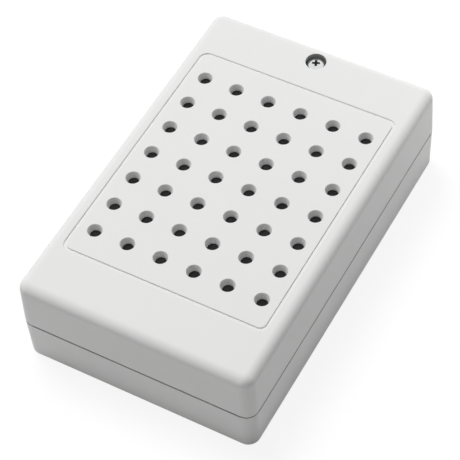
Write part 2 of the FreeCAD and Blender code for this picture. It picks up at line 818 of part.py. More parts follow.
def ring_between(name, inner, outer, low, high):
    """A plain ring with a square section."""
    ring = new_body(name)
    turned(ring, [(inner, low), (outer, low), (outer, high), (inner, high)])
    return finished(ring)


def pole_plate():
    yoke = new_body("pole_plate")
    turned(yoke, [
        ("0", SPEAKER_BACK), ("plateSize / 2 - yokeChamfer", SPEAKER_BACK),
        ("plateSize / 2", f"{SPEAKER_BACK} + yokeChamfer"), ("plateSize / 2", YOKE_TOP),
        ("poleSize / 2", YOKE_TOP), ("poleSize / 2", PLATE_TOP), ("0", PLATE_TOP),
    ])
    return finished(yoke)


def speaker_basket():
    """The pressed dish with a rim, a ledge for the spider and four windows."""
    basket = new_body("speaker_basket")
    slope = f"({RIM_RADIUS} - rimFlange)"
    foot = f"({LEDGE_IN} - footInset)"
    bore = f"({GAP_RADIUS} + basketBore)"
    bend = "0.6 * sheetThick"
    under = f"({SPIDER_SEAT} - sheetThick)"
    turned(basket, [
        (bore, PLATE_TOP), (foot, PLATE_TOP),
        (f"{LEDGE_IN} + {bend}", under), (f"{LEDGE_OUT} + {bend}", under),
        (slope, RIM_UNDER), (RIM_RADIUS, RIM_UNDER),
        (RIM_RADIUS, RIM_TOP), (f"{slope} - sheetThick", RIM_TOP),
        (LEDGE_OUT, SPIDER_SEAT), (LEDGE_IN, SPIDER_SEAT), (f"{foot} - {bend}", BASKET_FLOOR),
        (bore, BASKET_FLOOR),
    ])
    window = sketch_on(basket, "XY_Plane", RIM_TOP)
    rectangle(window, f"{LEDGE_OUT} + windowMargin", f"{slope} - windowMargin",
              "-windowWide / 2", "windowWide / 2")
    cut = pocket(basket, window, "speakerDepth / 2")
    windows = basket.newObject("PartDesign::PolarPattern", "basket_windows")
    windows.Originals = [cut]
    windows.Axis = (window, ["N_Axis"])
    windows.Angle = 360.0
    windows.Occurrences = 4
    basket.Tip = windows
    doc.recompute()
    return finished(basket)


ROLL_STEPS = 6


def cone_surround():
    """The rubber roll between rim and cone, its section bent along a half circle."""
    surround = new_body("cone_surround")
    middle = f"({FLANGE_INNER} - rollWide / 2)"
    over, under = [], []
    for step in range(ROLL_STEPS + 1):
        angle = math.pi * step / ROLL_STEPS
        across, rise = math.cos(angle), math.sin(angle)
        over.append((f"{middle} + {across:.4f} * (rollWide / 2)",
                     f"{RIM_TOP} + surroundThick + {rise:.4f} * rollRise"))
        under.append((f"{middle} + {across:.4f} * (rollWide / 2 - {rise:.4f} * surroundThick)",
                      f"{RIM_TOP} + {rise:.4f} * rollRise"))
    outer = f"({RIM_RADIUS} - gasketInset)"
    inner = f"({middle} - rollWide / 2 - surroundLip)"
    corners = [(outer, RIM_TOP), (outer, f"{RIM_TOP} + surroundThick")] + over
    corners += [(inner, f"{RIM_TOP} + surroundThick"), (inner, RIM_TOP)] + under[::-1]
    turned(surround, corners)
    return finished(surround)


def speaker_cone():
    cone = new_body("speaker_cone")
    neck = f"({FORMER_OUTER} + coilGlue)"
    lip = f"({RIM_TOP} - coneDrop)"
    turned(cone, [
        (neck, CONE_NECK), (f"{CONE_EDGE} - coneThick", f"{lip} - coneThick"),
        (CONE_EDGE, f"{lip} - coneThick"), (CONE_EDGE, lip),
        (f"{CONE_EDGE} - 2 * coneThick", lip), (neck, f"{CONE_NECK} + 1.5 * coneThick"),
    ])
    return finished(cone)


CAP_STEPS = 4


def dust_cap():
    """The domed cap glued over the cone's neck."""
    cap = new_body("dust_cap")
    seat = f"({CONE_NECK} + 1.5 * coneThick + capSeat)"
    over, under = [], []
    for step in range(CAP_STEPS + 1):
        angle = math.pi / 2 * step / CAP_STEPS
        across, rise = math.cos(angle), math.sin(angle)
        over.append((f"{across:.4f} * capEdge", f"{seat} + capThick + {rise:.4f} * capRise"))
        under.append((f"{across:.4f} * (capEdge - capThick)", f"{seat} + {rise:.4f} * capRise"))
    over[-1] = ("0", over[-1][1])
    under[-1] = ("0", under[-1][1])
    turned(cap, over + under[::-1])
    return finished(cap)


def voice_coil():
    coil = new_body("voice_coil")
    winding_low = f"({MAGNET_TOP} + plateThick / 2 - windingHeight / 2)"
    winding_high = f"({winding_low} + windingHeight)"
    turned(coil, [
        (COIL_INNER, winding_low), (WINDING_OUTER, winding_low), (WINDING_OUTER, winding_high),
        (FORMER_OUTER, winding_high), (FORMER_OUTER, f"{CONE_NECK} + coneThick"),
        (COIL_INNER, f"{CONE_NECK} + coneThick"),
    ])
    return finished(coil)


SPIDER_WAVES = 4


def spider():
    """The corrugated disc that centres the coil, waved between its two flat flanges."""
    disc = new_body("spider")
    inner = f"({FORMER_OUTER} + spiderBond)"
    outer = f"({LEDGE_OUT} - spiderTrim)"
    first = f"({inner} + spiderFlange)"
    last = f"({LEDGE_IN} - spiderClear)"
    lower = [(inner, SPIDER_SEAT)]
    for half_wave in range(2 * SPIDER_WAVES + 1):
        share = half_wave / (2 * SPIDER_WAVES)
        sign = (0, 1, 0, -1)[half_wave % 4]
        lower.append((f"{first} + {share:.4f} * ({last} - {first})", f"{SPIDER_SEAT} + {sign} * spiderWave"))
    lower.append((outer, SPIDER_SEAT))
    upper = [(x, f"{z} + spiderThick") for x, z in lower]
    turned(disc, lower + upper[::-1])
    return finished(disc)


def speaker_screws():
    """Four pan head screws whose heads overlap the loudspeaker's rim."""
    screws = new_body("speaker_screws")
    sections = sketch_on(screws, "XY_Plane", RIM_TOP)
    shanks = sketch_on(screws, "XY_Plane", RIM_TOP)
    for across, along in POST_SIDES:
        x, y = post_place(across, along)
        circle(sections, x, y, "tapHead")
        circle(shanks, x, y, "tapSize - 2 * threadClear")
    pad(screws, sections, "tapHeadHeight")
    chamfer_edges(screws, f"{RIM_TOP} + tapHeadHeight", "tapHeadHeight / 2")
    pad(screws, shanks, "tapDepth - tapSpare", down=True)
    slots = sketch_on(screws, "XY_Plane", f"{RIM_TOP} + tapHeadHeight")
    for across, along in POST_SIDES:
        x, y = post_place(across, along)
        rectangle(slots, f"{x} - crossSpan / 2", f"{x} + crossSpan / 2",
                  f"{y} - crossWidth / 2", f"{y} + crossWidth / 2")
    pocket(screws, slots, "tapHeadHeight / 2")
    return finished(screws)


def tag_board():
    """The insulating strip under the rim that carries the solder tags."""
    strip = new_body("tag_board")
    profile = sketch_on(strip, "XY_Plane", RIM_UNDER)
    rectangle(profile, TAG_RADIUS, f"{TAG_RADIUS} + tagBoardThick", "-tagBoardWide / 2", "tagBoardWide / 2")
    pad(strip, profile, "tagBoardDrop", down=True)
    place(strip, angle="tagAngle")
    return finished(strip)


def solder_tags():
    tags = new_body("solder_tags")
    profile = sketch_on(tags, "XY_Plane", f"{RIM_UNDER} - tagTop")
    face = f"({TAG_RADIUS} + tagBoardThick)"
    for side in (-1, 1):
        middle = f"{side} * tagSpacing / 2"
        rectangle(profile, face, f"{face} + tagThick", f"{middle} - tagWide / 2", f"{middle} + tagWide / 2")
    pad(tags, profile, "tagLength", down=True)
    place(tags, angle="tagAngle")
    return finished(tags)


# Circuit board and its screws

CHIP_LEG_PAIRS = 4


def circuit_board():
    board = new_body("circuit_board")
    plate = sketch_on(board, "XY_Plane", BOARD_UNDER)
    rounded(plate, f"{BOARD_RIGHT} - {BOARD_LEFT}", f"{BOARD_HIGH} - {BOARD_LOW}", "boardCorner",
            f"({BOARD_LEFT} + {BOARD_RIGHT}) / 2", BOARD_MIDDLE)
    for x, y in BOARD_SCREWS:
        circle(plate, x, y, "boardScrewShank + 2 * boardHoleClear")
    pad(board, plate, "boardThick")
    drilled = sketch_on(board, "XY_Plane", BOARD_TOP)
    for index in range(int(size("terminalCount"))):
        circle(drilled, f"{PIN_PLACE} + contactThick / 2", terminal_row(index), "contactWide + 2 * pinClear")
    for pair in range(CHIP_LEG_PAIRS):
        for side in (-1, 1):
            circle(drilled, f"{CHIP_X} + ({pair} - {CHIP_LEG_PAIRS - 1} / 2) * legPitch",
                   f"{CHIP_Y} + {side} * (legSpan + legThick) / 2", "drillSize")
    for x, y in RESISTOR_PLACES:
        for side in (-1, 1):
            circle(drilled, f"{x} + {side} * (resistorSpan - resistorLead) / 2", y, "drillSize")
    pocket(board, drilled, "boardThick")
    return finished(board)


def board_screws():
    screws = new_body("board_screws")
    heads = sketch_on(screws, "XY_Plane", BOARD_TOP)
    shanks = sketch_on(screws, "XY_Plane", BOARD_TOP)
    slots = sketch_on(screws, "XY_Plane", f"{BOARD_TOP} + boardScrewHeight")
    for x, y in BOARD_SCREWS:
        circle(heads, x, y, "boardScrewHead")
        circle(shanks, x, y, "boardScrewShank - 2 * threadClear")
        rectangle(slots, f"{x} - boardScrewHead / 3", f"{x} + boardScrewHead / 3",
                  f"{y} - crossWidth / 2", f"{y} + crossWidth / 2")
    pad(screws, heads, "boardScrewHeight")
    chamfer_edges(screws, f"{BOARD_TOP} + boardScrewHeight", "boardScrewHeight / 2")
    pad(screws, shanks, "boardScrewLength", down=True)
    pocket(screws, slots, "boardScrewHeight / 2")
    return finished(screws)


# Terminal block: housing, rising clamps, screws and contacts

CELL_FRONT = f"({BOARD_RIGHT} - blockFront)"
CELL_REAR = f"({CELL_FRONT} - cellDepth)"
CLAMP_MIDDLE = f"({CELL_FRONT} - clampClear - clampDepth / 2)"
PIN_PLACE = f"({CELL_REAR} + pinSetback)"


def terminal_row(index):
    """Where terminal number index lies along the block."""
    return f"({BOARD_MIDDLE} + ({index} - (terminalCount - 1) / 2) * terminalPitch)"


def terminal_block():
    block = new_body("terminal_block")
    body_outline = sketch_on(block, "XY_Plane", BOARD_TOP)
    half = "(terminalCount * terminalPitch / 2)"
    rectangle(body_outline, BLOCK_LEFT, BOARD_RIGHT,
              f"{BOARD_MIDDLE} - {half}", f"{BOARD_MIDDLE} + {half}")
    pad(block, body_outline, "blockHeight")
    cells = sketch_on(block, "XY_Plane", BOARD_TOP)
    wells = sketch_on(block, "XY_Plane", BLOCK_TOP)
    throats = sketch_on(block, "XY_Plane", f"{CELL_TOP} + ledgeThick")
    mouths = sketch_on(block, "YZ_Plane", BOARD_RIGHT)
    for index in range(int(size("terminalCount"))):
        row_place = terminal_row(index)
        rectangle(cells, CELL_REAR, CELL_FRONT,
                  f"{row_place} - cellWidth / 2", f"{row_place} + cellWidth / 2")
        circle(wells, CLAMP_MIDDLE, row_place, "clampScrewHead + 2 * wellClear")
        circle(throats, CLAMP_MIDDLE, row_place, "clampScrewSize + 2 * screwClear")
        rectangle(mouths, f"{row_place} - mouthWidth / 2", f"{row_place} + mouthWidth / 2",
                  f"{BOARD_TOP} + 2 * blockWall", f"{BOARD_TOP} + 2 * blockWall + mouthHeight")
    pocket(block, cells, "cellHeight", up=True)
    pocket(block, wells, "blockHeight - cellHeight - ledgeThick")
    pocket(block, throats, "ledgeThick")
    pocket(block, mouths, f"{BOARD_RIGHT} - {CELL_FRONT}")
    return finished(block)


def terminal_contacts():
    """Flat bars that the clamps close on, each with a pin down through the board."""
    contacts = new_body("terminal_contacts")
    bar_low = f"({CONTACT_TOP} - contactThick)"
    pin_low = f"({BOARD_UNDER} - pinDrop)"
    pin_front = f"({PIN_PLACE} + contactThick)"
    bar_front = f"({CELL_FRONT} - pinSetback)"
    for index in range(int(size("terminalCount"))):
        section = sketch_on(contacts, "XZ_Plane", f"-{terminal_row(index)}")
        outline(section, [
            (PIN_PLACE, CONTACT_TOP), (bar_front, CONTACT_TOP), (bar_front, bar_low),
            (pin_front, bar_low), (pin_front, pin_low), (PIN_PLACE, pin_low),
        ])
        pad(contacts, section, "contactWide", both_ways=True)
    return finished(contacts)


def terminal_clamp(index):
    """A square steel loop with a threaded top, which rises to grip the wire."""
    clamp = new_body(f"terminal_clamp_{index + 1}")
    loop = sketch_on(clamp, "YZ_Plane")
    rectangle(loop, "-clampWidth / 2", "clampWidth / 2", "0", "clampHeight")
    rectangle(loop, "-clampWidth / 2 + clampSideThick", "clampWidth / 2 - clampSideThick",
              "clampTopThick", "clampHeight - clampTopThick")
    pad(clamp, loop, "clampDepth", both_ways=True)
    hole = sketch_on(clamp, "XY_Plane", "clampHeight")
    circle(hole, "0", "0", "clampScrewSize + 2 * washerClear")
    pocket(clamp, hole, "clampTopThick")
    place(clamp, x=CLAMP_MIDDLE, y=terminal_row(index), z=CLAMP_REST)
    return finished(clamp)


def terminal_screw(index):
    screw = new_body(f"terminal_screw_{index + 1}")
    seat = f"({CELL_TOP} + ledgeThick + screwRest)"
    shank = f"({seat} - {CONTACT_TOP} - screwClear)"
    turned(screw, [
        ("0", "clampHeadHeight"), ("clampScrewHead / 2 - smallChamfer", "clampHeadHeight"),
        ("clampScrewHead / 2", "clampHeadHeight - smallChamfer"), ("clampScrewHead / 2", "0"),
        ("clampScrewSize / 2", "0"),
        ("clampScrewSize / 2", f"-{shank}"), ("0", f"-{shank}"),
    ])
    slot = sketch_on(screw, "XY_Plane", "clampHeadHeight")
    rectangle(slot, "-driverSlot / 2", "driverSlot / 2", "-clampScrewHead", "clampScrewHead")
    pocket(screw, slot, "driverDepth")
    place(screw, x=CLAMP_MIDDLE, y=terminal_row(index), z=seat)
    return finished(screw)


# Parts soldered to the board

def volume_trimmer():
    trimmer = new_body("volume_trimmer")
    block = sketch_on(trimmer, "XY_Plane")
    rounded(block, "trimmerWidth", "trimmerLength", "trimmerCorner")
    pad(trimmer, block, "trimmerHeight")
    well = sketch_on(trimmer, "XY_Plane", "trimmerHeight")
    circle(well, "0", "0", "rotorSize + 2 * rotorClear")
    pocket(trimmer, well, "rotorSink")
    place(trimmer, TRIMMER_X, TRIMMER_Y, BOARD_TOP)
    return finished(trimmer)


def trimmer_rotor():
    rotor = new_body("trimmer_rotor")
    turned(rotor, [
        ("0", "0"), ("rotorSize / 2", "0"), ("rotorSize / 2", "rotorHeight - smallChamfer"),
        ("rotorSize / 2 - smallChamfer", "rotorHeight"), ("0", "rotorHeight"),
    ])
    slot = sketch_on(rotor, "XY_Plane", "rotorHeight")
    rectangle(slot, "-driverSlot / 2", "driverSlot / 2", "-rotorSize / 3", "rotorSize / 3")
    pocket(rotor, slot, "driverDepth")
    place(rotor, TRIMMER_X, TRIMMER_Y, f"{BOARD_TOP} + trimmerHeight - rotorSink + rotorClear")
    return finished(rotor)


def can_capacitor(name, diameter, height, across):
    """A radial capacitor: a can with a rolled groove over a rubber bung."""
    can = new_body(name)
    wall = f"{diameter} / 2"
    turned(can, [
        ("0", "0"), (f"{wall} - smallChamfer", "0"), (wall, "smallChamfer"), (wall, "bungHeight"),
        (f"{wall} - canGroove", "bungHeight + grooveRise"), (wall, "bungHeight + 2 * grooveRise"),
        (wall, f"{height} - canShoulder"), (f"{wall} - canShoulder", height), ("0", height),
    ])
    place(can, across, CAN_Y, BOARD_TOP)
    return finished(can)


def amplifier_chip():
    """An eight-leg dual in-line amplifier with its index notch."""
    chip = new_body("amplifier_chip")
    case = sketch_on(chip, "XY_Plane", "chipLift")
    rectangle(case, "-chipLength / 2", "chipLength / 2", "-chipWidth / 2", "chipWidth / 2")
    pad(chip, case, "chipHeight - chipLift")
    notch = sketch_on(chip, "XY_Plane", "chipHeight")
    circle(notch, "-chipLength / 2", "0", "notchSize")
    pocket(chip, notch, "notchDepth")
    legs = sketch_on(chip, "YZ_Plane", f"-{CHIP_LEG_PAIRS - 1} / 2 * legPitch")
    shoulder = "(chipLift + (chipHeight - chipLift) / 2)"
    for side in (-1, 1):
        root = f"{side} * (chipWidth / 2 - legBite)"
        inner = f"{side} * legSpan / 2"
        outer = f"{side} * (legSpan / 2 + legThick)"
        outline(legs, [
            (root, f"{shoulder} + legThick"), (outer, f"{shoulder} + legThick"), (outer, "-boardThick"),
            (inner, "-boardThick"), (inner, shoulder), (root, shoulder),
        ])
    first_pair = pad(chip, legs, "legWide", both_ways=True)
    row = chip.newObject("PartDesign::LinearPattern", "leg_pairs")
    row.Originals = [first_pair]
    row.Direction = (legs, ["N_Axis"])
    bind(row, "Length", f"{CHIP_LEG_PAIRS - 1} * legPitch")
    row.Occurrences = CHIP_LEG_PAIRS
    chip.Tip = row
    place(chip, CHIP_X, CHIP_Y, BOARD_TOP)
    doc.recompute()
    return finished(chip)


def resistors():
    """Three axial resistors, each a waisted body with its leads bent down into the board."""
    group = new_body("resistors")
    axis_level = f"({BOARD_TOP} + resistorLift + resistorSize / 2)"
    wire_top = f"({axis_level} + resistorLead / 2)"
    wire_under = f"({axis_level} - resistorLead / 2)"
    wire_low = f"({BOARD_UNDER} - leadTrim)"
    for x, y in RESISTOR_PLACES:
        core = sketch_on(group, "YZ_Plane", x)
        circle(core, y, axis_level, "resistorSize * waistShare")
        pad(group, core, "resistorLength", both_ways=True)
        for side in (-1, 1):
            cuff = sketch_on(group, "YZ_Plane", f"{x} + {side} * (resistorLength - resistorCuff) / 2")
            circle(cuff, y, axis_level, "resistorSize")
            pad(group, cuff, "resistorCuff", both_ways=True)
        bridge = sketch_on(group, "XZ_Plane", f"-({y})")
        left, right = f"({x} - resistorSpan / 2)", f"({x} + resistorSpan / 2)"
        left_inner, right_inner = f"({left} + resistorLead)", f"({right} - resistorLead)"
        outline(bridge, [
            (left, wire_low), (left, wire_top), (right, wire_top), (right, wire_low),
            (right_inner, wire_low), (right_inner, wire_under),
            (left_inner, wire_under), (left_inner, wire_low),
        ])
        pad(group, bridge, "resistorLead", both_ways=True)
    return finished(group)


def disc_capacitors():
    """Two dipped ceramic discs standing on edge."""
    group = new_body("disc_capacitors")
    centre = f"({BOARD_TOP} + discLift + discSize / 2)"
    for y in (LOWER_DISC, f"({LOWER_DISC} + discStep)"):
        disc = sketch_on(group, "YZ_Plane", DISC_X)
        circle(disc, y, centre, "discSize")
        pad(group, disc, "discThick", both_ways=True)
        for side in (-1, 1):
            lead = sketch_on(group, "XY_Plane", f"{BOARD_TOP} + discLift + discSize / 3")
            circle(lead, DISC_X, f"{y} + {side} * discSize / 4", "resistorLead")
            pad(group, lead, "discLift + discSize / 3", down=True)
    return finished(group)


def lead_header():
    """The open socket on the board that the loudspeaker's plug pushes into."""
    header = new_body("lead_header")
    shroud = sketch_on(header, "XY_Plane")
    rectangle(shroud, "-headerWidth / 2", "headerWidth / 2", "-headerLength / 2", "headerLength / 2")
    pad(header, shroud, "headerHeight")
    well = sketch_on(header, "XY_Plane", "headerHeight")
    rectangle(well, "-headerWidth / 2 + headerWall", "headerWidth / 2 - headerWall",
              "-headerLength / 2 + headerWall", "headerLength / 2 - headerWall")
    pocket(header, well, "headerHeight - headerFloor")
    place(header, HEADER_X, HEADER_Y, BOARD_TOP)
    return finished(header)


def lead_plug():
    plug = new_body("lead_plug")
    block = sketch_on(plug, "XY_Plane", "headerFloor")
    rectangle(block, "-headerWidth / 2 + headerWall + plugClear", "headerWidth / 2 - headerWall - plugClear",
              "-headerLength / 2 + headerWall + plugClear", "headerLength / 2 - headerWall - plugClear")
    pad(plug, block, "plugHeight")
    place(plug, HEADER_X, HEADER_Y, BOARD_TOP)
    return finished(plug)


# Leads from the loudspeaker to the plug

TURN_SHARE = 0.45


def routed_tube(name, points, diameter):
    """A tube along straight runs joined by tangent arcs as large as the runs allow."""
    runs = [(b - a) for a, b in zip(points, points[1:])]
    edges = []
    start = points[0]
    radii = []
    for corner, before, after in zip(points[1:-1], runs, runs[1:]):
        half_turn = before.getAngle(after) / 2
        setback = TURN_SHARE * min(before.Length, after.Length)
        radii.append(setback / math.tan(half_turn))
        into = FreeCAD.Vector(before).normalize()
        out = FreeCAD.Vector(after).normalize()
        arc_start = corner - into * setback
        arc_end = corner + out * setback
        towards = (out - into).normalize()
        middle = corner + towards * (radii[-1] * (1 / math.cos(half_turn) - 1))
        edges.append(Part.LineSegment(start, arc_start).toShape())
        edges.append(Part.Arc(arc_start, middle, arc_end).toShape())
        start = arc_end
    edges.append(Part.LineSegment(start, points[-1]).toShape())
    path = Part.Wire(edges)
    section = Part.Wire([Part.makeCircle(diameter / 2, points[0], runs[0])])
    tube = path.makePipeShell([section], True, False)
    expected = math.pi * diameter ** 2 / 4 * path.Length
    print(f"{name}: length {path.Length:.1f} mm, radii", [round(r, 1) for r in radii],
          f"volume {tube.Volume:.2f} of {expected:.2f}")
    feature = doc.addObject("Part::Feature", name)
    feature.Label = name
    feature.Shape = tube
    feature.Placement = FreeCAD.Placement()
    return finished(feature)


def speaker_lead(name, side, sag):
    """One lead, from a solder tag out and down into its hole in the plug."""
    angle = math.radians(size("tagAngle"))
    outward = FreeCAD.Vector(math.cos(angle), math.sin(angle), 0)
    sideways = FreeCAD.Vector(-math.sin(angle), math.cos(angle), 0)
    reach = size(f"{TAG_RADIUS} + tagBoardThick + tagThick")
    level = size(f"{RIM_UNDER} - tagTop - tagLength + solderDrop")
    tag = outward * reach + sideways * (side * size("tagSpacing") / 2) + FreeCAD.Vector(0, 0, level)
    hole = FreeCAD.Vector(size(HEADER_X) + side * size("leadPitch") / 2, size(HEADER_Y), size(PLUG_TOP))
    leave = tag + outward * size("leadStraight")
    above = hole + FreeCAD.Vector(0, 0, size("leadStraight"))
    between = (leave + above) * 0.5 + FreeCAD.Vector(side * size("leadBow"), 0, size(sag))
    return routed_tube(name, [tag, leave, between, above, hole], size("leadSize"))


# The whole sounder

base_shell()
front_cover()
grille_cloth()
cover_screw()
screw_washer()
circuit_board()
board_screws()
terminal_block()
terminal_contacts()
for terminal in range(int(size("terminalCount"))):
    terminal_clamp(terminal)
    terminal_screw(terminal)
volume_trimmer()
trimmer_rotor()
can_capacitor("filter_capacitor", "filterSize", "filterHeight", FILTER_X)
can_capacitor("coupling_capacitor", "couplingSize", "couplingHeight", COUPLING_X)
amplifier_chip()
resistors()
disc_capacitors()
lead_header()
lead_plug()
speaker_basket()
ring_between("speaker_gasket", f"({RIM_RADIUS} - gasketInset - gasketWide)", f"({RIM_RADIUS} - gasketInset)",
             f"{RIM_TOP} + surroundThick", f"{RIM_TOP} + surroundThick + gasketThick")
cone_surround()
speaker_cone()
dust_cap()
voice_coil()
spider()
ring_between("top_plate", GAP_RADIUS, "plateSize / 2", MAGNET_TOP, PLATE_TOP)
ring_between("magnet", f"({GAP_RADIUS} + magnetBoreStep)", "magnetSize / 2", YOKE_TOP, MAGNET_TOP)
pole_plate()
tag_board()
solder_tags()
speaker_screws()
doc.recompute()
speaker_lead("speaker_lead_red", 1, "redLeadSag")
speaker_lead("speaker_lead_black", -1, "blackLeadSag")
doc.recompute()

# Check and write

for thing in doc.Objects:
    if "Invalid" in thing.State or "Error" in thing.State:
        raise RuntimeError(thing.Label + " failed: " + str(thing.State))
os.makedirs("parts", exist_ok=True)
for piece in pieces:
    if piece.Shape.isNull() or not piece.Shape.isValid():
        raise RuntimeError(piece.Label + " has no valid shape")
for piece in pieces:
    piece.Shape.exportStep(os.path.join("parts", piece.Label + ".step"))
    print(f"{piece.Label}: {len(piece.Shape.Solids)} solid(s), {piece.Shape.Volume:.1f} mm3")
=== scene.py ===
"""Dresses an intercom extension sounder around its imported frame.

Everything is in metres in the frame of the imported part: the back lies on z = 0, +Z points out of
the grille and +Y is up on the wall. Each sub-assembly is a class whose fields are its sizes.
"""

import json
import logging
import math
from dataclasses import dataclass, field, replace
from enum import Enum
from typing import Callable, Iterable, Optional, Sequence

import bmesh
import bpy
from bmesh.types import BMEdge, BMesh, BMVert
from mathutils import Matrix, Vector

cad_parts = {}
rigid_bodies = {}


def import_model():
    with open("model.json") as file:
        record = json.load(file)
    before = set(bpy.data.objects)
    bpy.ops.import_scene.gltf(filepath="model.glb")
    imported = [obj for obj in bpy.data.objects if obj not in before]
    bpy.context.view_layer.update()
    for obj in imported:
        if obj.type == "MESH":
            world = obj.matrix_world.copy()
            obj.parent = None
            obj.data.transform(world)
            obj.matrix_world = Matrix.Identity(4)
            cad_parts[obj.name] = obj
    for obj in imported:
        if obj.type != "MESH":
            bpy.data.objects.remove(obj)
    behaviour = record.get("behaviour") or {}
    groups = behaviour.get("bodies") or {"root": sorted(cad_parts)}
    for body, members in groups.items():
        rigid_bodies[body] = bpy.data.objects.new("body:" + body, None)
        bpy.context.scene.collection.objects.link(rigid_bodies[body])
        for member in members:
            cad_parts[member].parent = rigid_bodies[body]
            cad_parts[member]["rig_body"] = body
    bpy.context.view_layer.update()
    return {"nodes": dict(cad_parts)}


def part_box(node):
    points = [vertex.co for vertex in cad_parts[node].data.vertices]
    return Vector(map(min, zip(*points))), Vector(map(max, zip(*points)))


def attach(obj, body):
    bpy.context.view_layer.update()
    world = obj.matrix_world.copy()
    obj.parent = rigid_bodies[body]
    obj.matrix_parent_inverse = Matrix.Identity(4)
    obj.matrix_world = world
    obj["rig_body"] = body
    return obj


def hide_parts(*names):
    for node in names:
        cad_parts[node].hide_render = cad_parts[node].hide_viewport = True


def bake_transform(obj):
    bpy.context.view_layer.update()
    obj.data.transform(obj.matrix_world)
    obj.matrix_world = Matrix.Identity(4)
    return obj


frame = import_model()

log = logging.getLogger("sounder")

MM = 0.001
UP = Vector((0.0, 0.0, 1.0))
TINY = 1e-7
FLAT = math.radians(0.2)

Colour = tuple[float, float, float]
Outline = Sequence[tuple[float, float]]
Tree = bpy.types.NodeTree
Socket = bpy.types.NodeSocket


class Surface(Enum):
    """The relief that a finish has at the scale of a fingertip."""

    MOULDED = "moulded"
    BRUSHED = "brushed"
    TURNED = "turned"
    WOVEN = "woven"
    FIBROUS = "fibrous"
    FOAMED = "foamed"


class Drive(Enum):
    """The recess in a screw's head."""

    CROSS = "cross"
    SLOT = "slot"


# Shared node groups


def added(tree: Tree, kind: str, inputs: dict[str | int, object], **settings: object) -> bpy.types.Node:
    """Adds a shader node.

    Args:
        tree: The tree it goes into.
        kind: Its type, without the ShaderNode in front.
        inputs: For each input, by name or place, a socket to link or a value to set.
        settings: Its own settings, made before the inputs are filled.

    Returns:
        The new node.
    """
    node = tree.nodes.new(f"ShaderNode{kind}")
    for name, value in settings.items():
        setattr(node, name, value)
    for key, value in inputs.items():
        if isinstance(value, Socket):
            tree.links.new(value, node.inputs[key])
        else:
            node.inputs[key].default_value = value
    return node


def math_node(tree: Tree, operation: str, *values: object) -> Socket:
    """Adds a Math node, its inputs filled in order with numbers or sockets, and returns its output."""
    return added(tree, "Math", dict(enumerate(values)), operation=operation).outputs[0]


def noise_node(tree: Tree, vector: Socket, scale: object, detail: float, roughness: float = 0.5) -> Socket:
    """Adds a Noise Texture.

    Args:
        tree: The tree it goes into.
        vector: The coordinates it reads.
        scale: A number or a socket.
        detail: Octaves.
        roughness: How strong the finer octaves are.

    Returns:
        The socket of its value, from 0 to 1.
    """
    inputs = {"Vector": vector, "Scale": scale, "Detail": detail, "Roughness": roughness}
    return added(tree, "TexNoise", inputs).outputs[0]


def moulded_relief(tree: Tree, vector: Socket, scale: Socket) -> Socket:
    """The fine pebble of a spark-eroded mould.

    Args:
        tree: The group it is built in.
        vector: The coordinates it reads.
        scale: How fine it is.

    Returns:
        The socket of its height.
    """
    fine = noise_node(tree, vector, scale, 3.0, 0.6)
    wider = math_node(tree, "MULTIPLY", scale, 0.55)
    pebble = added(tree, "TexVoronoi", {"Vector": vector, "Scale": wider}, feature="SMOOTH_F1")
    return math_node(tree, "MULTIPLY_ADD", pebble.outputs["Distance"], -0.6, fine)


def brushed_relief(tree: Tree, vector: Socket, scale: Socket) -> Socket:
    """Fine parallel lines along Y, as rolling or drawing leaves on metal.

    Args:
        tree: The group it is built in.
        vector: The coordinates it reads.
        scale: How fine it is.

    Returns:
        The socket of its height.
    """
    stretched = added(tree, "Mapping", {"Vector": vector, "Scale": (1.0, 0.04, 1.0)})
    return noise_node(tree, stretched.outputs[0], scale, 2.0)


def turned_relief(tree: Tree, vector: Socket, scale: Socket) -> Socket:
    """Rings about the pattern's own Z axis, as a lathe or a press tool leaves.

    Args:
        tree: The group it is built in.
        vector: The coordinates it reads.
        scale: How fine it is.

    Returns:
        The socket of its height.
    """
    apart = added(tree, "SeparateXYZ", {0: vector}).outputs
    across = math_node(tree, "MULTIPLY", apart["X"], apart["X"])
    both = math_node(tree, "MULTIPLY_ADD", apart["Y"], apart["Y"], across)
    rings = added(tree, "CombineXYZ", {"X": math_node(tree, "SQRT", both), "Z": apart["Z"]})
    return noise_node(tree, rings.outputs[0], scale, 2.0)


def woven_relief(tree: Tree, vector: Socket, scale: Socket) -> Socket:
    """A plain weave: round yarns that pass over and under each other.

    Args:
        tree: The group it is built in.
        vector: The coordinates it reads.
        scale: Yarns to the metre.

    Returns:
        The socket of its height.
    """
    apart = added(tree, "SeparateXYZ", {0: vector}).outputs
    across, along = (math_node(tree, "MULTIPLY", apart[axis], scale) for axis in ("X", "Y"))
    yarns = []
    for place in (across, along):
        swing = math_node(tree, "SINE", math_node(tree, "MULTIPLY", place, math.pi))
        yarns.append(math_node(tree, "ABSOLUTE", swing))
    cells = math_node(tree, "ADD", math_node(tree, "FLOOR", across), math_node(tree, "FLOOR", along))
    odd = math_node(tree, "PINGPONG", cells, 1.0)
    over = math_node(tree, "MULTIPLY", yarns[0], odd)
    under = math_node(tree, "MULTIPLY", yarns[1], math_node(tree, "SUBTRACT", 1.0, odd))
    fuzz = noise_node(tree, vector, math_node(tree, "MULTIPLY", scale, 6.0), 2.0)
    return math_node(tree, "MULTIPLY_ADD", fuzz, 0.25, math_node(tree, "ADD", over, under))


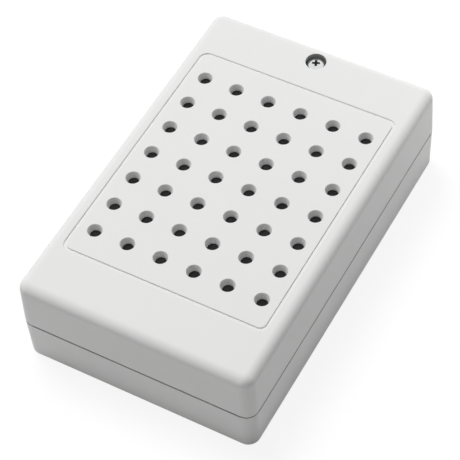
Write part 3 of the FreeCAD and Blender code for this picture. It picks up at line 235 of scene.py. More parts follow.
def fibrous_relief(tree: Tree, vector: Socket, scale: Socket) -> Socket:
    """Felted fibres, as in pressed paper pulp.

    Args:
        tree: The group it is built in.
        vector: The coordinates it reads.
        scale: How fine it is.

    Returns:
        The socket of its height.
    """
    strands = []
    for turn in (0.0, 1.1, 2.2):
        inputs = {"Vector": vector, "Rotation": (0.0, 0.0, turn), "Scale": (1.0, 0.15, 1.0)}
        laid = added(tree, "Mapping", inputs)
        strands.append(noise_node(tree, laid.outputs[0], scale, 3.0, 0.7))
    return math_node(tree, "MAXIMUM", strands[0], math_node(tree, "MAXIMUM", strands[1], strands[2]))


def foamed_relief(tree: Tree, vector: Socket, scale: Socket) -> Socket:
    """Open cells of a soft foam.

    Args:
        tree: The group it is built in.
        vector: The coordinates it reads.
        scale: How fine it is.

    Returns:
        The socket of its height.
    """
    cells = added(tree, "TexVoronoi", {"Vector": vector, "Scale": scale}, feature="DISTANCE_TO_EDGE")
    return math_node(tree, "SUBTRACT", 1.0, cells.outputs["Distance"])


RELIEFS: dict[Surface, Callable[[Tree, Socket, Socket], Socket]] = {
    Surface.MOULDED: moulded_relief,
    Surface.BRUSHED: brushed_relief,
    Surface.TURNED: turned_relief,
    Surface.WOVEN: woven_relief,
    Surface.FIBROUS: fibrous_relief,
    Surface.FOAMED: foamed_relief,
}


def group_shell(name: str, inputs: Sequence[str], outputs: Sequence[str]) -> Tree:
    """Starts a node group with its sockets.

    Args:
        name: The group's name.
        inputs: Its inputs, each a name and a kind such as "Scale Float".
        outputs: The same for what it puts out.

    Returns:
        The new tree, with an input node named "in" and an output node named "out".
    """
    tree = bpy.data.node_groups.new(name, "ShaderNodeTree")
    for way, sockets in (("INPUT", inputs), ("OUTPUT", outputs)):
        for socket in sockets:
            label, kind = socket.split()
            tree.interface.new_socket(name=label, in_out=way, socket_type=f"NodeSocket{kind}")
    tree.nodes.new("NodeGroupInput").name = "in"
    tree.nodes.new("NodeGroupOutput").name = "out"
    return tree


def relief_group(surface: Surface) -> Tree:
    """The node group of a surface's relief, built the first time it is asked for.

    Args:
        surface: Which relief.

    Returns:
        The group, with Vector and Scale in and Height out.
    """
    name = f"{surface.value}_relief"
    if name in bpy.data.node_groups:
        return bpy.data.node_groups[name]
    tree = group_shell(name, ("Vector Vector", "Scale Float"), ("Height Float",))
    given = tree.nodes["in"].outputs
    height = RELIEFS[surface](tree, given["Vector"], given["Scale"])
    tree.links.new(height, tree.nodes["out"].inputs["Height"])
    return tree


def mottle_group() -> Tree:
    """Two near colours drifting into each other, and the mask that mixes them, built once.

    Returns:
        The group, with Vector, Scale, Light and Dark in, and Colour and Mask out.
    """
    if "mottle" in bpy.data.node_groups:
        return bpy.data.node_groups["mottle"]
    tree = group_shell("mottle", ("Vector Vector", "Scale Float", "Light Color", "Dark Color"),
                       ("Colour Color", "Mask Float"))
    given, out = tree.nodes["in"].outputs, tree.nodes["out"].inputs
    drift = noise_node(tree, given["Vector"], given["Scale"], 4.0, 0.6)
    mask = added(tree, "MapRange", {"Value": drift, "From Min": 0.35, "From Max": 0.65}).outputs[0]
    mixed = added(tree, "Mix", {"Factor": mask}, data_type="RGBA")
    light_in, dark_in = (socket for socket in mixed.inputs if socket.type == "RGBA")
    tree.links.new(given["Light"], light_in)
    tree.links.new(given["Dark"], dark_in)
    tree.links.new(next(socket for socket in mixed.outputs if socket.type == "RGBA"), out["Colour"])
    tree.links.new(mask, out["Mask"])
    return tree


# Finishes


@dataclass(frozen=True)
class Finish:
    """A surface finish: one colour, its drift, its relief and its gloss."""

    name: str
    colour: Colour
    roughness: float
    surface: Surface = Surface.MOULDED
    metallic: float = 0.0
    drift: float = 0.04
    drift_scale: float = 90.0
    relief_scale: float = 3500.0
    relief_depth: float = 0.02 * MM
    relief_strength: float = 0.25
    gloss_drift: float = 0.05
    coat: float = 0.0
    sheen: float = 0.0
    centre: tuple[float, float, float] = (0.0, 0.0, 0.0)

    def material(self) -> bpy.types.Material:
        """Builds the material, or finds it if it was built before.

        Returns:
            The material, ready for a piece's slot.
        """
        known = bpy.data.materials.get(self.name)
        if known:
            return known
        made = bpy.data.materials.new(self.name)
        made.use_nodes = True
        made.diffuse_color = (*self.colour, 1.0)
        tree = made.node_tree
        shader = tree.nodes["Principled BSDF"].inputs
        shader["Metallic"].default_value = self.metallic
        shader["Coat Weight"].default_value = self.coat
        shader["Sheen Weight"].default_value = self.sheen
        spot = added(tree, "TexCoord", {}).outputs["Object"]
        place = added(tree, "Mapping", {"Vector": spot, "Location": tuple(-c for c in self.centre)})
        colour, gloss = self.paint(tree, place.outputs[0])
        tree.links.new(colour, shader["Base Color"])
        tree.links.new(gloss, shader["Roughness"])
        tree.links.new(self.roughen(tree, place.outputs[0]), shader["Normal"])
        return made

    def paint(self, tree: Tree, vector: Socket) -> tuple[Socket, Socket]:
        """Makes the drifting colour and gloss.

        Args:
            tree: The material's tree.
            vector: The centred coordinates.

        Returns:
            The sockets of the colour and of the roughness.
        """
        light, dark = ((*(min(1.0, c * share) for c in self.colour), 1.0)
                       for share in (1.0 + self.drift, 1.0 - self.drift))
        inputs = {"Vector": vector, "Scale": self.drift_scale, "Light": light, "Dark": dark}
        drifting = added(tree, "Group", inputs, node_tree=mottle_group())
        spread = added(tree, "MapRange", {"Value": drifting.outputs["Mask"],
                                          "To Min": max(0.02, self.roughness - self.gloss_drift),
                                          "To Max": min(1.0, self.roughness + self.gloss_drift)})
        return drifting.outputs["Colour"], spread.outputs[0]

    def roughen(self, tree: Tree, vector: Socket) -> Socket:
        """Makes the relief.

        Args:
            tree: The material's tree.
            vector: The centred coordinates.

        Returns:
            The socket of the normal.
        """
        inputs = {"Vector": vector, "Scale": self.relief_scale}
        relief = added(tree, "Group", inputs, node_tree=relief_group(self.surface))
        bump = added(tree, "Bump", {"Height": relief.outputs["Height"], "Distance": self.relief_depth,
                                    "Strength": self.relief_strength})
        return bump.outputs["Normal"]


CASE_PLASTIC = Finish("case_abs", (0.79, 0.79, 0.785), 0.5, drift=0.004, gloss_drift=0.01)
# Darker colour for the faces down in the parting line and on the wall round the cover screw: painted shade in
# those hollows.
SEAM_SHADE = Finish("seam_shade", (0.42, 0.42, 0.41), 0.7, drift=0.06)
# Near-black colour for the faces down in each screw's recess: painted shade.
SCREW_SHADE = Finish("screw_shade", (0.10, 0.10, 0.102), 0.5, metallic=0.6, drift=0.1)
GRILLE_CLOTH = Finish("grille_cloth_black", (0.012, 0.012, 0.013), 0.9, Surface.WOVEN, drift=0.25,
                      relief_scale=2600.0, relief_depth=0.12 * MM, relief_strength=0.9, sheen=0.05)
BRIGHT_ZINC = Finish("bright_zinc", (0.72, 0.73, 0.74), 0.2, Surface.TURNED, 1.0, relief_scale=5000.0,
                     relief_strength=0.12)
PLATED_STEEL = Finish("plated_steel", (0.60, 0.61, 0.60), 0.32, Surface.BRUSHED, 1.0, drift=0.08,
                      relief_scale=1800.0, relief_strength=0.15)
YELLOW_ZINC = Finish("yellow_zinc", (0.62, 0.55, 0.36), 0.3, Surface.TURNED, 1.0, drift=0.15,
                     drift_scale=220.0)
PRESSED_STEEL = Finish("pressed_steel", (0.56, 0.57, 0.57), 0.36, Surface.TURNED, 1.0, drift=0.06,
                       relief_scale=900.0, relief_strength=0.12)
TINNED = Finish("tinned_brass", (0.74, 0.73, 0.70), 0.34, Surface.BRUSHED, 1.0, drift=0.06)
SOLDER = Finish("solder", (0.66, 0.67, 0.68), 0.22, Surface.MOULDED, 1.0, drift=0.1, drift_scale=900.0,
                relief_scale=900.0)
COPPER = Finish("copper_wire", (0.72, 0.30, 0.13), 0.3, Surface.MOULDED, 1.0, coat=0.6)
NYLON = Finish("natural_nylon", (0.72, 0.71, 0.64), 0.4, drift=0.03)
BOARD_GREEN = Finish("solder_mask", (0.018, 0.135, 0.055), 0.3, drift=0.16, drift_scale=420.0,
                     relief_scale=1500.0, coat=0.4)
LEGEND_INK = Finish("legend_ink", (0.78, 0.79, 0.76), 0.6)
TERMINAL_GREEN = Finish("terminal_polyamide", (0.03, 0.23, 0.075), 0.38, drift=0.05)
TRIMMER_BLUE = Finish("trimmer_blue", (0.02, 0.09, 0.34), 0.35, drift=0.05)
ROTOR_WHITE = Finish("rotor_white", (0.76, 0.75, 0.70), 0.45)
# Darker colour for the faces sunk in the trimmer rotor's slot and pointer: painted shade.
ROTOR_SHADE = Finish("rotor_shade", (0.28, 0.27, 0.25), 0.6)
SLEEVE_BLACK = Finish("sleeve_black", (0.02, 0.021, 0.025), 0.26, drift=0.2, coat=0.5)
SLEEVE_STRIPE = Finish("sleeve_stripe", (0.50, 0.50, 0.50), 0.3, drift=0.04, coat=0.5)
CAN_TOP = Finish("aluminium_can", (0.72, 0.72, 0.73), 0.3, Surface.BRUSHED, 1.0, relief_scale=2500.0)
BUNG_RUBBER = Finish("bung_rubber", (0.02, 0.02, 0.02), 0.7)
CHIP_EPOXY = Finish("moulded_epoxy", (0.022, 0.022, 0.024), 0.5, drift=0.15, relief_scale=2600.0,
                    relief_strength=0.5)
RESISTOR_TAN = Finish("resistor_tan", (0.60, 0.44, 0.26), 0.34, drift=0.06, coat=0.5)
DISC_TAN = Finish("dipped_lacquer", (0.53, 0.27, 0.07), 0.3, drift=0.12, drift_scale=350.0, coat=0.5)
HEADER_WHITE = Finish("header_nylon", (0.74, 0.73, 0.67), 0.42, drift=0.03)
FOAM_GREY = Finish("gasket_foam", (0.10, 0.10, 0.11), 0.95, Surface.FOAMED, drift=0.2, drift_scale=600.0,
                   relief_scale=2600.0, relief_depth=0.15 * MM, relief_strength=0.8)
ROLL_RUBBER = Finish("surround_rubber", (0.025, 0.025, 0.027), 0.55, Surface.TURNED, drift=0.12,
                     relief_scale=1600.0)
CONE_PAPER = Finish("cone_paper", (0.045, 0.044, 0.045), 0.85, Surface.FIBROUS, drift=0.3, drift_scale=500.0,
                    relief_scale=1400.0, relief_depth=0.08 * MM, relief_strength=0.7)
CAP_CLOTH = Finish("cap_cloth", (0.05, 0.048, 0.046), 0.8, Surface.WOVEN, drift=0.2, relief_scale=2200.0,
                   relief_depth=0.06 * MM, relief_strength=0.7)
SPIDER_CLOTH = Finish("spider_cloth", (0.55, 0.30, 0.10), 0.75, Surface.WOVEN, drift=0.12,
                      relief_scale=2000.0, relief_depth=0.08 * MM, relief_strength=0.8)
FORMER_PAPER = Finish("former_paper", (0.34, 0.22, 0.12), 0.6, Surface.FIBROUS)
FERRITE = Finish("ferrite", (0.045, 0.045, 0.048), 0.62, drift=0.25, drift_scale=500.0, relief_scale=700.0,
                 relief_depth=0.06 * MM, relief_strength=0.5)
PHENOLIC = Finish("phenolic_paper", (0.36, 0.17, 0.06), 0.45, Surface.FIBROUS, drift=0.1)
LEAD_RED = Finish("lead_red", (0.55, 0.02, 0.015), 0.38, drift=0.04)
LEAD_BLACK = Finish("lead_black", (0.015, 0.015, 0.016), 0.38, drift=0.1)
BAND_COLOURS = {
    "brown": (0.10, 0.035, 0.012),
    "black": (0.01, 0.01, 0.01),
    "red": (0.50, 0.015, 0.01),
    "orange": (0.72, 0.17, 0.01),
    "yellow": (0.75, 0.52, 0.02),
    "gold": (0.50, 0.35, 0.09),
}


# Mesh tools


def lathe(profile: Outline, segments: int = 64) -> BMesh:
    """Turns an outline about the upright axis.

    Args:
        profile: Pairs of radius and height. It is closed unless it starts on the axis.
        segments: Steps round the turn.

    Returns:
        The turned solid, its normals outwards.
    """
    bm = bmesh.new()
    verts = [bm.verts.new((radius, 0.0, height)) for radius, height in profile]
    edges = [bm.edges.new(pair) for pair in zip(verts, verts[1:])]
    if profile[0][0] > TINY:
        edges.append(bm.edges.new((verts[-1], verts[0])))
    bmesh.ops.spin(bm, geom=verts + edges, cent=(0.0, 0.0, 0.0), axis=UP, dvec=(0.0, 0.0, 0.0),
                   angle=math.tau, steps=segments, use_merge=True)
    return cleaned(bm)


def cleaned(bm: BMesh) -> BMesh:
    """Merges doubles, drops faces with no area and turns the normals outwards.

    Args:
        bm: The mesh. It is changed in place.

    Returns:
        The same mesh.
    """
    bmesh.ops.remove_doubles(bm, verts=bm.verts, dist=TINY)
    bmesh.ops.dissolve_degenerate(bm, dist=TINY, edges=bm.edges)
    bmesh.ops.recalc_face_normals(bm, faces=bm.faces)
    return bm


def ring(inner: float, outer: float, low: float, high: float, segments: int = 64) -> BMesh:
    """A flat-sided ring about the upright axis, between two radii and two heights."""
    return lathe([(inner, low), (outer, low), (outer, high), (inner, high)], segments)


def arc(across: float, up: float, radius: float, start: float, end: float, steps: int,
        rise: Optional[float] = None) -> list[tuple[float, float]]:
    """Points on an arc in an outline.

    Args:
        across: The centre's distance from the axis.
        up: The centre's height.
        radius: The arc's radius.
        start: Its first angle in degrees, from the outward direction.
        end: Its last angle.
        steps: How many chords it has.
        rise: Its upright radius, where that differs.

    Returns:
        The points, both ends among them.
    """
    angles = [math.radians(start + (end - start) * step / steps) for step in range(steps + 1)]
    upright = radius if rise is None else rise
    return [(across + radius * math.cos(a), up + upright * math.sin(a)) for a in angles]


def roomy(edge: BMEdge, least: float) -> bool:
    """Whether every edge that meets this one is longer than a length."""
    return all(near.calc_length() > least for vert in edge.verts for near in vert.link_edges)


def soften(bm: BMesh, width: float, segments: int = 2, angle: float = 30.0,
           chosen: Optional[Callable[[BMEdge], bool]] = None, clamp: bool = True) -> BMesh:
    """Bevels the edges that turn by more than an angle.

    Args:
        bm: The solid.
        width: How far each side of the bevel reaches.
        segments: How many strips the bevel has.
        angle: The least turn in degrees.
        chosen: A further test that an edge must pass.
        clamp: Whether one short edge narrows the bevel everywhere.

    Returns:
        The same solid.
    """
    limit = math.radians(angle)
    edges = [e for e in bm.edges if len(e.link_faces) == 2 and e.calc_face_angle(0.0) > limit
             and (chosen is None or chosen(e))]
    if edges:
        bmesh.ops.bevel(bm, geom=edges, offset=width, offset_type="OFFSET", segments=segments, profile=0.5,
                        affect="EDGES", clamp_overlap=clamp, material=-1)
    return bm


def block(low: Vector, high: Vector, edge: float = 0.0, segments: int = 2) -> BMesh:
    """A box between two corners, its edges rounded by a width.

    Args:
        low: Its lowest corner.
        high: Its highest corner.
        edge: The width of its rounding, or 0.
        segments: How many strips the rounding has.

    Returns:
        The box.
    """
    bm = bmesh.new()
    bmesh.ops.create_cube(bm, size=1.0)
    bmesh.ops.scale(bm, vec=high - low, verts=bm.verts)
    bmesh.ops.translate(bm, vec=(low + high) / 2, verts=bm.verts)
    return soften(bm, edge, segments) if edge else bm


def rod(radius: float, low: float, high: float, segments: int = 32, taper: float = 1.0) -> BMesh:
    """An upright rod on the axis.

    Args:
        radius: At its lower end.
        low: Its lower end.
        high: Its upper end.
        segments: Sides.
        taper: The upper radius as a share of the lower.

    Returns:
        The rod, its ends closed.
    """
    bm = bmesh.new()
    bmesh.ops.create_cone(bm, cap_ends=True, segments=segments, radius1=radius, radius2=radius * taper,
                          depth=high - low)
    bmesh.ops.translate(bm, vec=UP * (low + high) / 2, verts=bm.verts)
    return bm


def moved(bm: BMesh, by: Vector, turn: float = 0.0) -> BMesh:
    """The same mesh, turned about the upright axis by an angle in radians and then moved."""
    bmesh.ops.transform(bm, matrix=Matrix.Translation(by) @ Matrix.Rotation(turn, 4, "Z"), verts=bm.verts)
    return bm


def over(bm: BMesh, centre: Vector) -> BMesh:
    """The same mesh, moved sideways from the axis to stand over a centre."""
    return moved(bm, Vector((centre.x, centre.y, 0.0)))


def tipped(bm: BMesh) -> BMesh:
    """The same mesh, tipped over so that what stood upright lies along X."""
    bmesh.ops.rotate(bm, cent=(0.0, 0.0, 0.0), matrix=Matrix.Rotation(math.pi / 2, 3, "Y"), verts=bm.verts)
    return bm


def whole_of(bm: BMesh) -> list[object]:
    """Every vertex, edge and face, as a cut through all of a mesh asks for."""
    return bm.verts[:] + bm.edges[:] + bm.faces[:]


def curve_mesh(points: Sequence[Vector], kind: str, **settings: object) -> bpy.types.Mesh:
    """The mesh of a passing curve.

    Args:
        points: What its spline is steered by.
        kind: The spline's type, POLY or NURBS.
        settings: The curve's own settings.

    Returns:
        The mesh, for the caller to remove.
    """
    curve = bpy.data.curves.new("passing", "CURVE")
    curve.dimensions = "3D"
    for name, value in settings.items():
        setattr(curve, name, value)
    spline = curve.splines.new(kind)
    spline.points.add(len(points) - 1)
    for point, place in zip(spline.points, points):
        point.co = (*place, 1.0)
    spline.order_u = 3
    spline.use_endpoint_u = True
    thing = linked("passing", curve)
    mesh = bpy.data.meshes.new_from_object(thing.evaluated_get(bpy.context.evaluated_depsgraph_get()))
    bpy.data.objects.remove(thing)
    bpy.data.curves.remove(curve)
    return mesh


def wire_along(points: Sequence[Vector], diameter: float, sides: int = 16) -> BMesh:
    """A round wire along points, its ends closed.

    Args:
        points: Its centre line.
        diameter: Its thickness.
        sides: How many sides it has.

    Returns:
        The wire.
    """
    mesh = curve_mesh(points, "POLY", bevel_depth=diameter / 2, bevel_resolution=sides // 4 - 1,
                      use_fill_caps=True)
    bm = bmesh.new()
    bm.from_mesh(mesh)
    bpy.data.meshes.remove(mesh)
    return cleaned(bm)


def finished_with(bm: BMesh, index: int) -> BMesh:
    """The same mesh with all its faces on one of the piece's material slots.

    Args:
        bm: The mesh. It is changed in place.
        index: The slot's place, from 0.

    Returns:
        The same mesh.
    """
    for face in bm.faces:
        face.material_index = index
    return bm


def mesh_of(name: str, bm: BMesh) -> bpy.types.Mesh:
    """Stores a mesh under a name and frees its working copy.

    Args:
        name: The stored mesh's name.
        bm: The working copy. It is freed.

    Returns:
        The stored mesh.
    """
    mesh = bpy.data.meshes.new(name)
    bm.to_mesh(mesh)
    bm.free()
    return mesh


def linked(name: str, data: bpy.types.ID) -> bpy.types.Object:
    """A new object with that data, in the scene.

    Args:
        name: Its name.
        data: Its mesh, curve, lamp or camera.

    Returns:
        The object.
    """
    thing = bpy.data.objects.new(name, data)
    bpy.context.scene.collection.objects.link(thing)
    return thing


def gathered(parts: Iterable[BMesh]) -> BMesh:
    """Puts several meshes into one and frees them.

    Args:
        parts: The meshes.

    Returns:
        The whole.
    """
    whole = bmesh.new()
    for part in parts:
        mesh = mesh_of("passing", part)
        whole.from_mesh(mesh)
        bpy.data.meshes.remove(mesh)
    return whole


def carved(solid: BMesh, *cutters: BMesh) -> BMesh:
    """Cuts solids out of a solid.

    Args:
        solid: What is cut. It is freed.
        cutters: What is taken away, one after another. They are freed.

    Returns:
        What is left.
    """
    for cutter in cutters:
        held = [linked(name, mesh_of(name, bm)) for name, bm in (("solid", solid), ("cutter", cutter))]
        cut = held[0].modifiers.new("cut", "BOOLEAN")
        cut.operation = "DIFFERENCE"
        cut.solver = "EXACT"
        cut.object = held[1]
        solid = bmesh.new()
        solid.from_object(held[0], bpy.context.evaluated_depsgraph_get())
        for thing in held:
            bpy.data.objects.remove(thing)
    return cleaned(solid)


def copied(node: str) -> BMesh:
    """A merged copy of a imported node's mesh, its flat faces whole again.

    Args:
        node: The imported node.

    Returns:
        The copy.
    """
    bm = bmesh.new()
    bm.from_mesh(frame["nodes"][node].data)
    bmesh.ops.remove_doubles(bm, verts=bm.verts, dist=TINY)
    bmesh.ops.dissolve_limit(bm, angle_limit=FLAT, verts=bm.verts, edges=bm.edges,
                             use_dissolve_boundaries=False, delimit=set())
    return bm


def settle(name: str, bm: BMesh, finishes: Sequence[Finish], node: str = "", body: str = "",
           smooth: float = 35.0) -> bpy.types.Object:
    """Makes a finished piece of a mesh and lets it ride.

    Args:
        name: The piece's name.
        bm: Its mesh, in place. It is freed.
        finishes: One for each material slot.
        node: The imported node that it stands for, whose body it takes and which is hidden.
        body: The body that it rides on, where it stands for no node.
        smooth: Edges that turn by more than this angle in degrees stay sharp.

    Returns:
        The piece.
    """
    mesh = mesh_of(name, bm)
    mesh.shade_smooth()
    mesh.set_sharp_from_angle(angle=math.radians(smooth))
    mesh.validate()
    for finish in finishes:
        mesh.materials.append(finish.material())
    piece = linked(name, mesh)
    if node:
        packed = frame["nodes"][node]
        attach(piece, packed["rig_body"])
        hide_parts(node)
    else:
        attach(piece, body)
    log.info("%s: %d faces", name, len(mesh.polygons))
    return piece


def edged(name: str, node: str, finish: Finish, width: float, segments: int = 2, angle: float = 40.0) -> None:
    """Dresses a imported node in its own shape, its edges broken.

    Args:
        name: The piece's name.
        node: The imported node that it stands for.
        finish: Its finish.
        width: How far each side of a broken edge reaches.
        segments: How many strips it has.
        angle: The least turn of an edge that is broken, in degrees.
    """
    settle(name, soften(copied(node), width, segments, angle), [finish], node)


def middle(node: str) -> tuple[Vector, Vector, Vector]:
    """A node's lowest corner, highest corner and centre."""
    low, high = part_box(node)
    return low, high, (low + high) / 2


def round_room(node: str) -> tuple[float, float, float, Vector]:
    """A round node's foot and top levels, its outer radius and its centre."""
    low, high, centre = middle(node)
    return low.z, high.z, (high.x - low.x) / 2, centre


# The case


@dataclass
class Case:
    """The two mouldings of the wall box, and the cloth that backs the grille."""

    edge: float = 0.1 * MM
    wide_edge: float = 0.24 * MM
    least_room: tuple[float, float] = (1.1, 1.5)
    top: float = 29.5 * MM
    seam_rims: tuple[float, float] = (13.6 * MM, 14.0 * MM)
    rim_x: float = 34.5 * MM
    rim_y: float = 54.8 * MM
    line_out: tuple[float, float] = (31.0 * MM, 39.6 * MM)
    line_in: tuple[float, float] = (28.6 * MM, 36.8 * MM)
    seam_top: float = 15.4 * MM
    level_slack: float = 0.02 * MM
    recess_radius: float = 3.1 * MM
    recess_low: float = 26.5 * MM
    cloth_corner: float = 3.0 * MM
    cloth_thick: float = 0.22 * MM
    cloth_step: float = 1.0 * MM
    glue: float = 0.03 * MM
    hole_pitch: float = 10.0 * MM
    holes: tuple[int, int] = (6, 7)
    hole_bulge: float = 0.12 * MM
    bulge_reach: float = 1.3 * MM
    cloth_flat: tuple[float, float] = (58.2 * MM, 68.2 * MM)

    def build(self) -> None:
        """Builds both mouldings and the cloth."""
        self.moulding("base_moulding", "base_shell")
        self.moulding("cover_moulding", "front_cover")
        self.cloth()

    def moulding(self, name: str, node: str) -> None:
        """One half of the case, its edges broken as a mould leaves them.

        Args:
            name: The piece's name.
            node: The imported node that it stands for.
        """
        bm = copied(node)
        self.shade(bm)
        wide_room, room = self.least_room[0] * self.wide_edge, self.least_room[1] * self.edge
        soften(bm, self.wide_edge, segments=3, angle=40.0, clamp=False,
               chosen=lambda edge: self.wide(edge) and roomy(edge, wide_room))
        soften(bm, self.edge, segments=2, angle=40.0, clamp=False, chosen=lambda edge: roomy(edge, room))
        piece = settle(name, bm, [CASE_PLASTIC, SEAM_SHADE], node)
        weigh = piece.modifiers.new("even_normals", "WEIGHTED_NORMAL")
        weigh.keep_sharp = True

    def shade(self, bm: BMesh) -> None:
        """Puts the faces down in the parting line and round the screw's head on the second slot, whose darker
        colour is painted shade.

        Args:
            bm: The moulding. It is changed in place.
        """
        screw = middle("cover_screw")[2]
        for face in bm.faces:
            levels = [vert.co.z for vert in face.verts]
            reach = max(math.hypot(vert.co.x - screw.x, vert.co.y - screw.y) for vert in face.verts)
            seam = min(levels) > self.seam_rims[0] - self.edge and max(levels) < self.seam_top + self.edge
            # Faces in the seam or in the screw's recess take the painted shade.
            if seam or (reach < self.recess_radius and min(levels) > self.recess_low):
                face.material_index = 1

    def wide(self, edge: BMEdge) -> bool:
        """Whether an edge is on the rim of the parting line or of the line round the grille.

        Args:
            edge: An edge of the moulding.

        Returns:
            True where it takes the wider rounding.
        """
        levels = [vert.co.z for vert in edge.verts]
        if abs(levels[0] - levels[1]) > TINY:
            return False
        ends = [(abs(vert.co.x), abs(vert.co.y)) for vert in edge.verts]
        if any(abs(levels[0] - level) < self.level_slack for level in self.seam_rims):
            return all(x > self.rim_x or y > self.rim_y for x, y in ends)
        in_band = all(x < self.line_out[0] and y < self.line_out[1] for x, y in ends)
        off_holes = all(x > self.line_in[0] or y > self.line_in[1] for x, y in ends)
        return abs(levels[0] - self.top) < self.level_slack and in_band and off_holes

    def cloth(self) -> None:
        """The sheet glued behind the grille, swelling a little into each hole."""
        low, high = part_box("grille_cloth")
        bm = bmesh.new()
        bmesh.ops.create_grid(bm, x_segments=1, y_segments=1, size=0.5)
        bmesh.ops.scale(bm, vec=(high.x - low.x, high.y - low.y, 1.0), verts=bm.verts)
        bmesh.ops.bevel(bm, geom=list(bm.verts), offset=self.cloth_corner, offset_type="OFFSET", segments=6,
                        profile=0.5, affect="VERTICES", material=-1)
        for normal, reach in ((Vector((1.0, 0.0, 0.0)), high.x), (Vector((0.0, 1.0, 0.0)), high.y)):
            steps = int(reach / self.cloth_step)
            for step in range(-steps, steps + 1):
                bmesh.ops.bisect_plane(bm, geom=whole_of(bm), dist=TINY,
                                       plane_co=normal * (step * self.cloth_step), plane_no=normal)
        bmesh.ops.translate(bm, vec=UP * (high.z - self.cloth_thick / 2 - self.glue), verts=bm.verts)
        for vert in bm.verts:
            vert.co.z += self.bulge_at(vert)
        bmesh.ops.solidify(bm, geom=bm.faces[:], thickness=self.cloth_thick)
        cleaned(bm)
        piece = settle("grille_fabric", bm, [GRILLE_CLOTH], "grille_cloth")

    def bulge_at(self, vert: BMVert) -> float:
        """How far the cloth swells at a vertex, from its distance to the nearest hole.

        Args:
            vert: A vertex of the cloth, in place.

        Returns:
            Its rise towards the grille.
        """
        half = self.hole_pitch / 2
        across = (vert.co.x % self.hole_pitch) - half
        along = ((vert.co.y + half) % self.hole_pitch) - half
        inside = abs(vert.co.x) < self.holes[0] * half and abs(vert.co.y) < self.holes[1] * half
        reach = math.hypot(across, along) / self.bulge_reach
        return self.hole_bulge * math.exp(-reach * reach) if inside else 0.0


# Screws


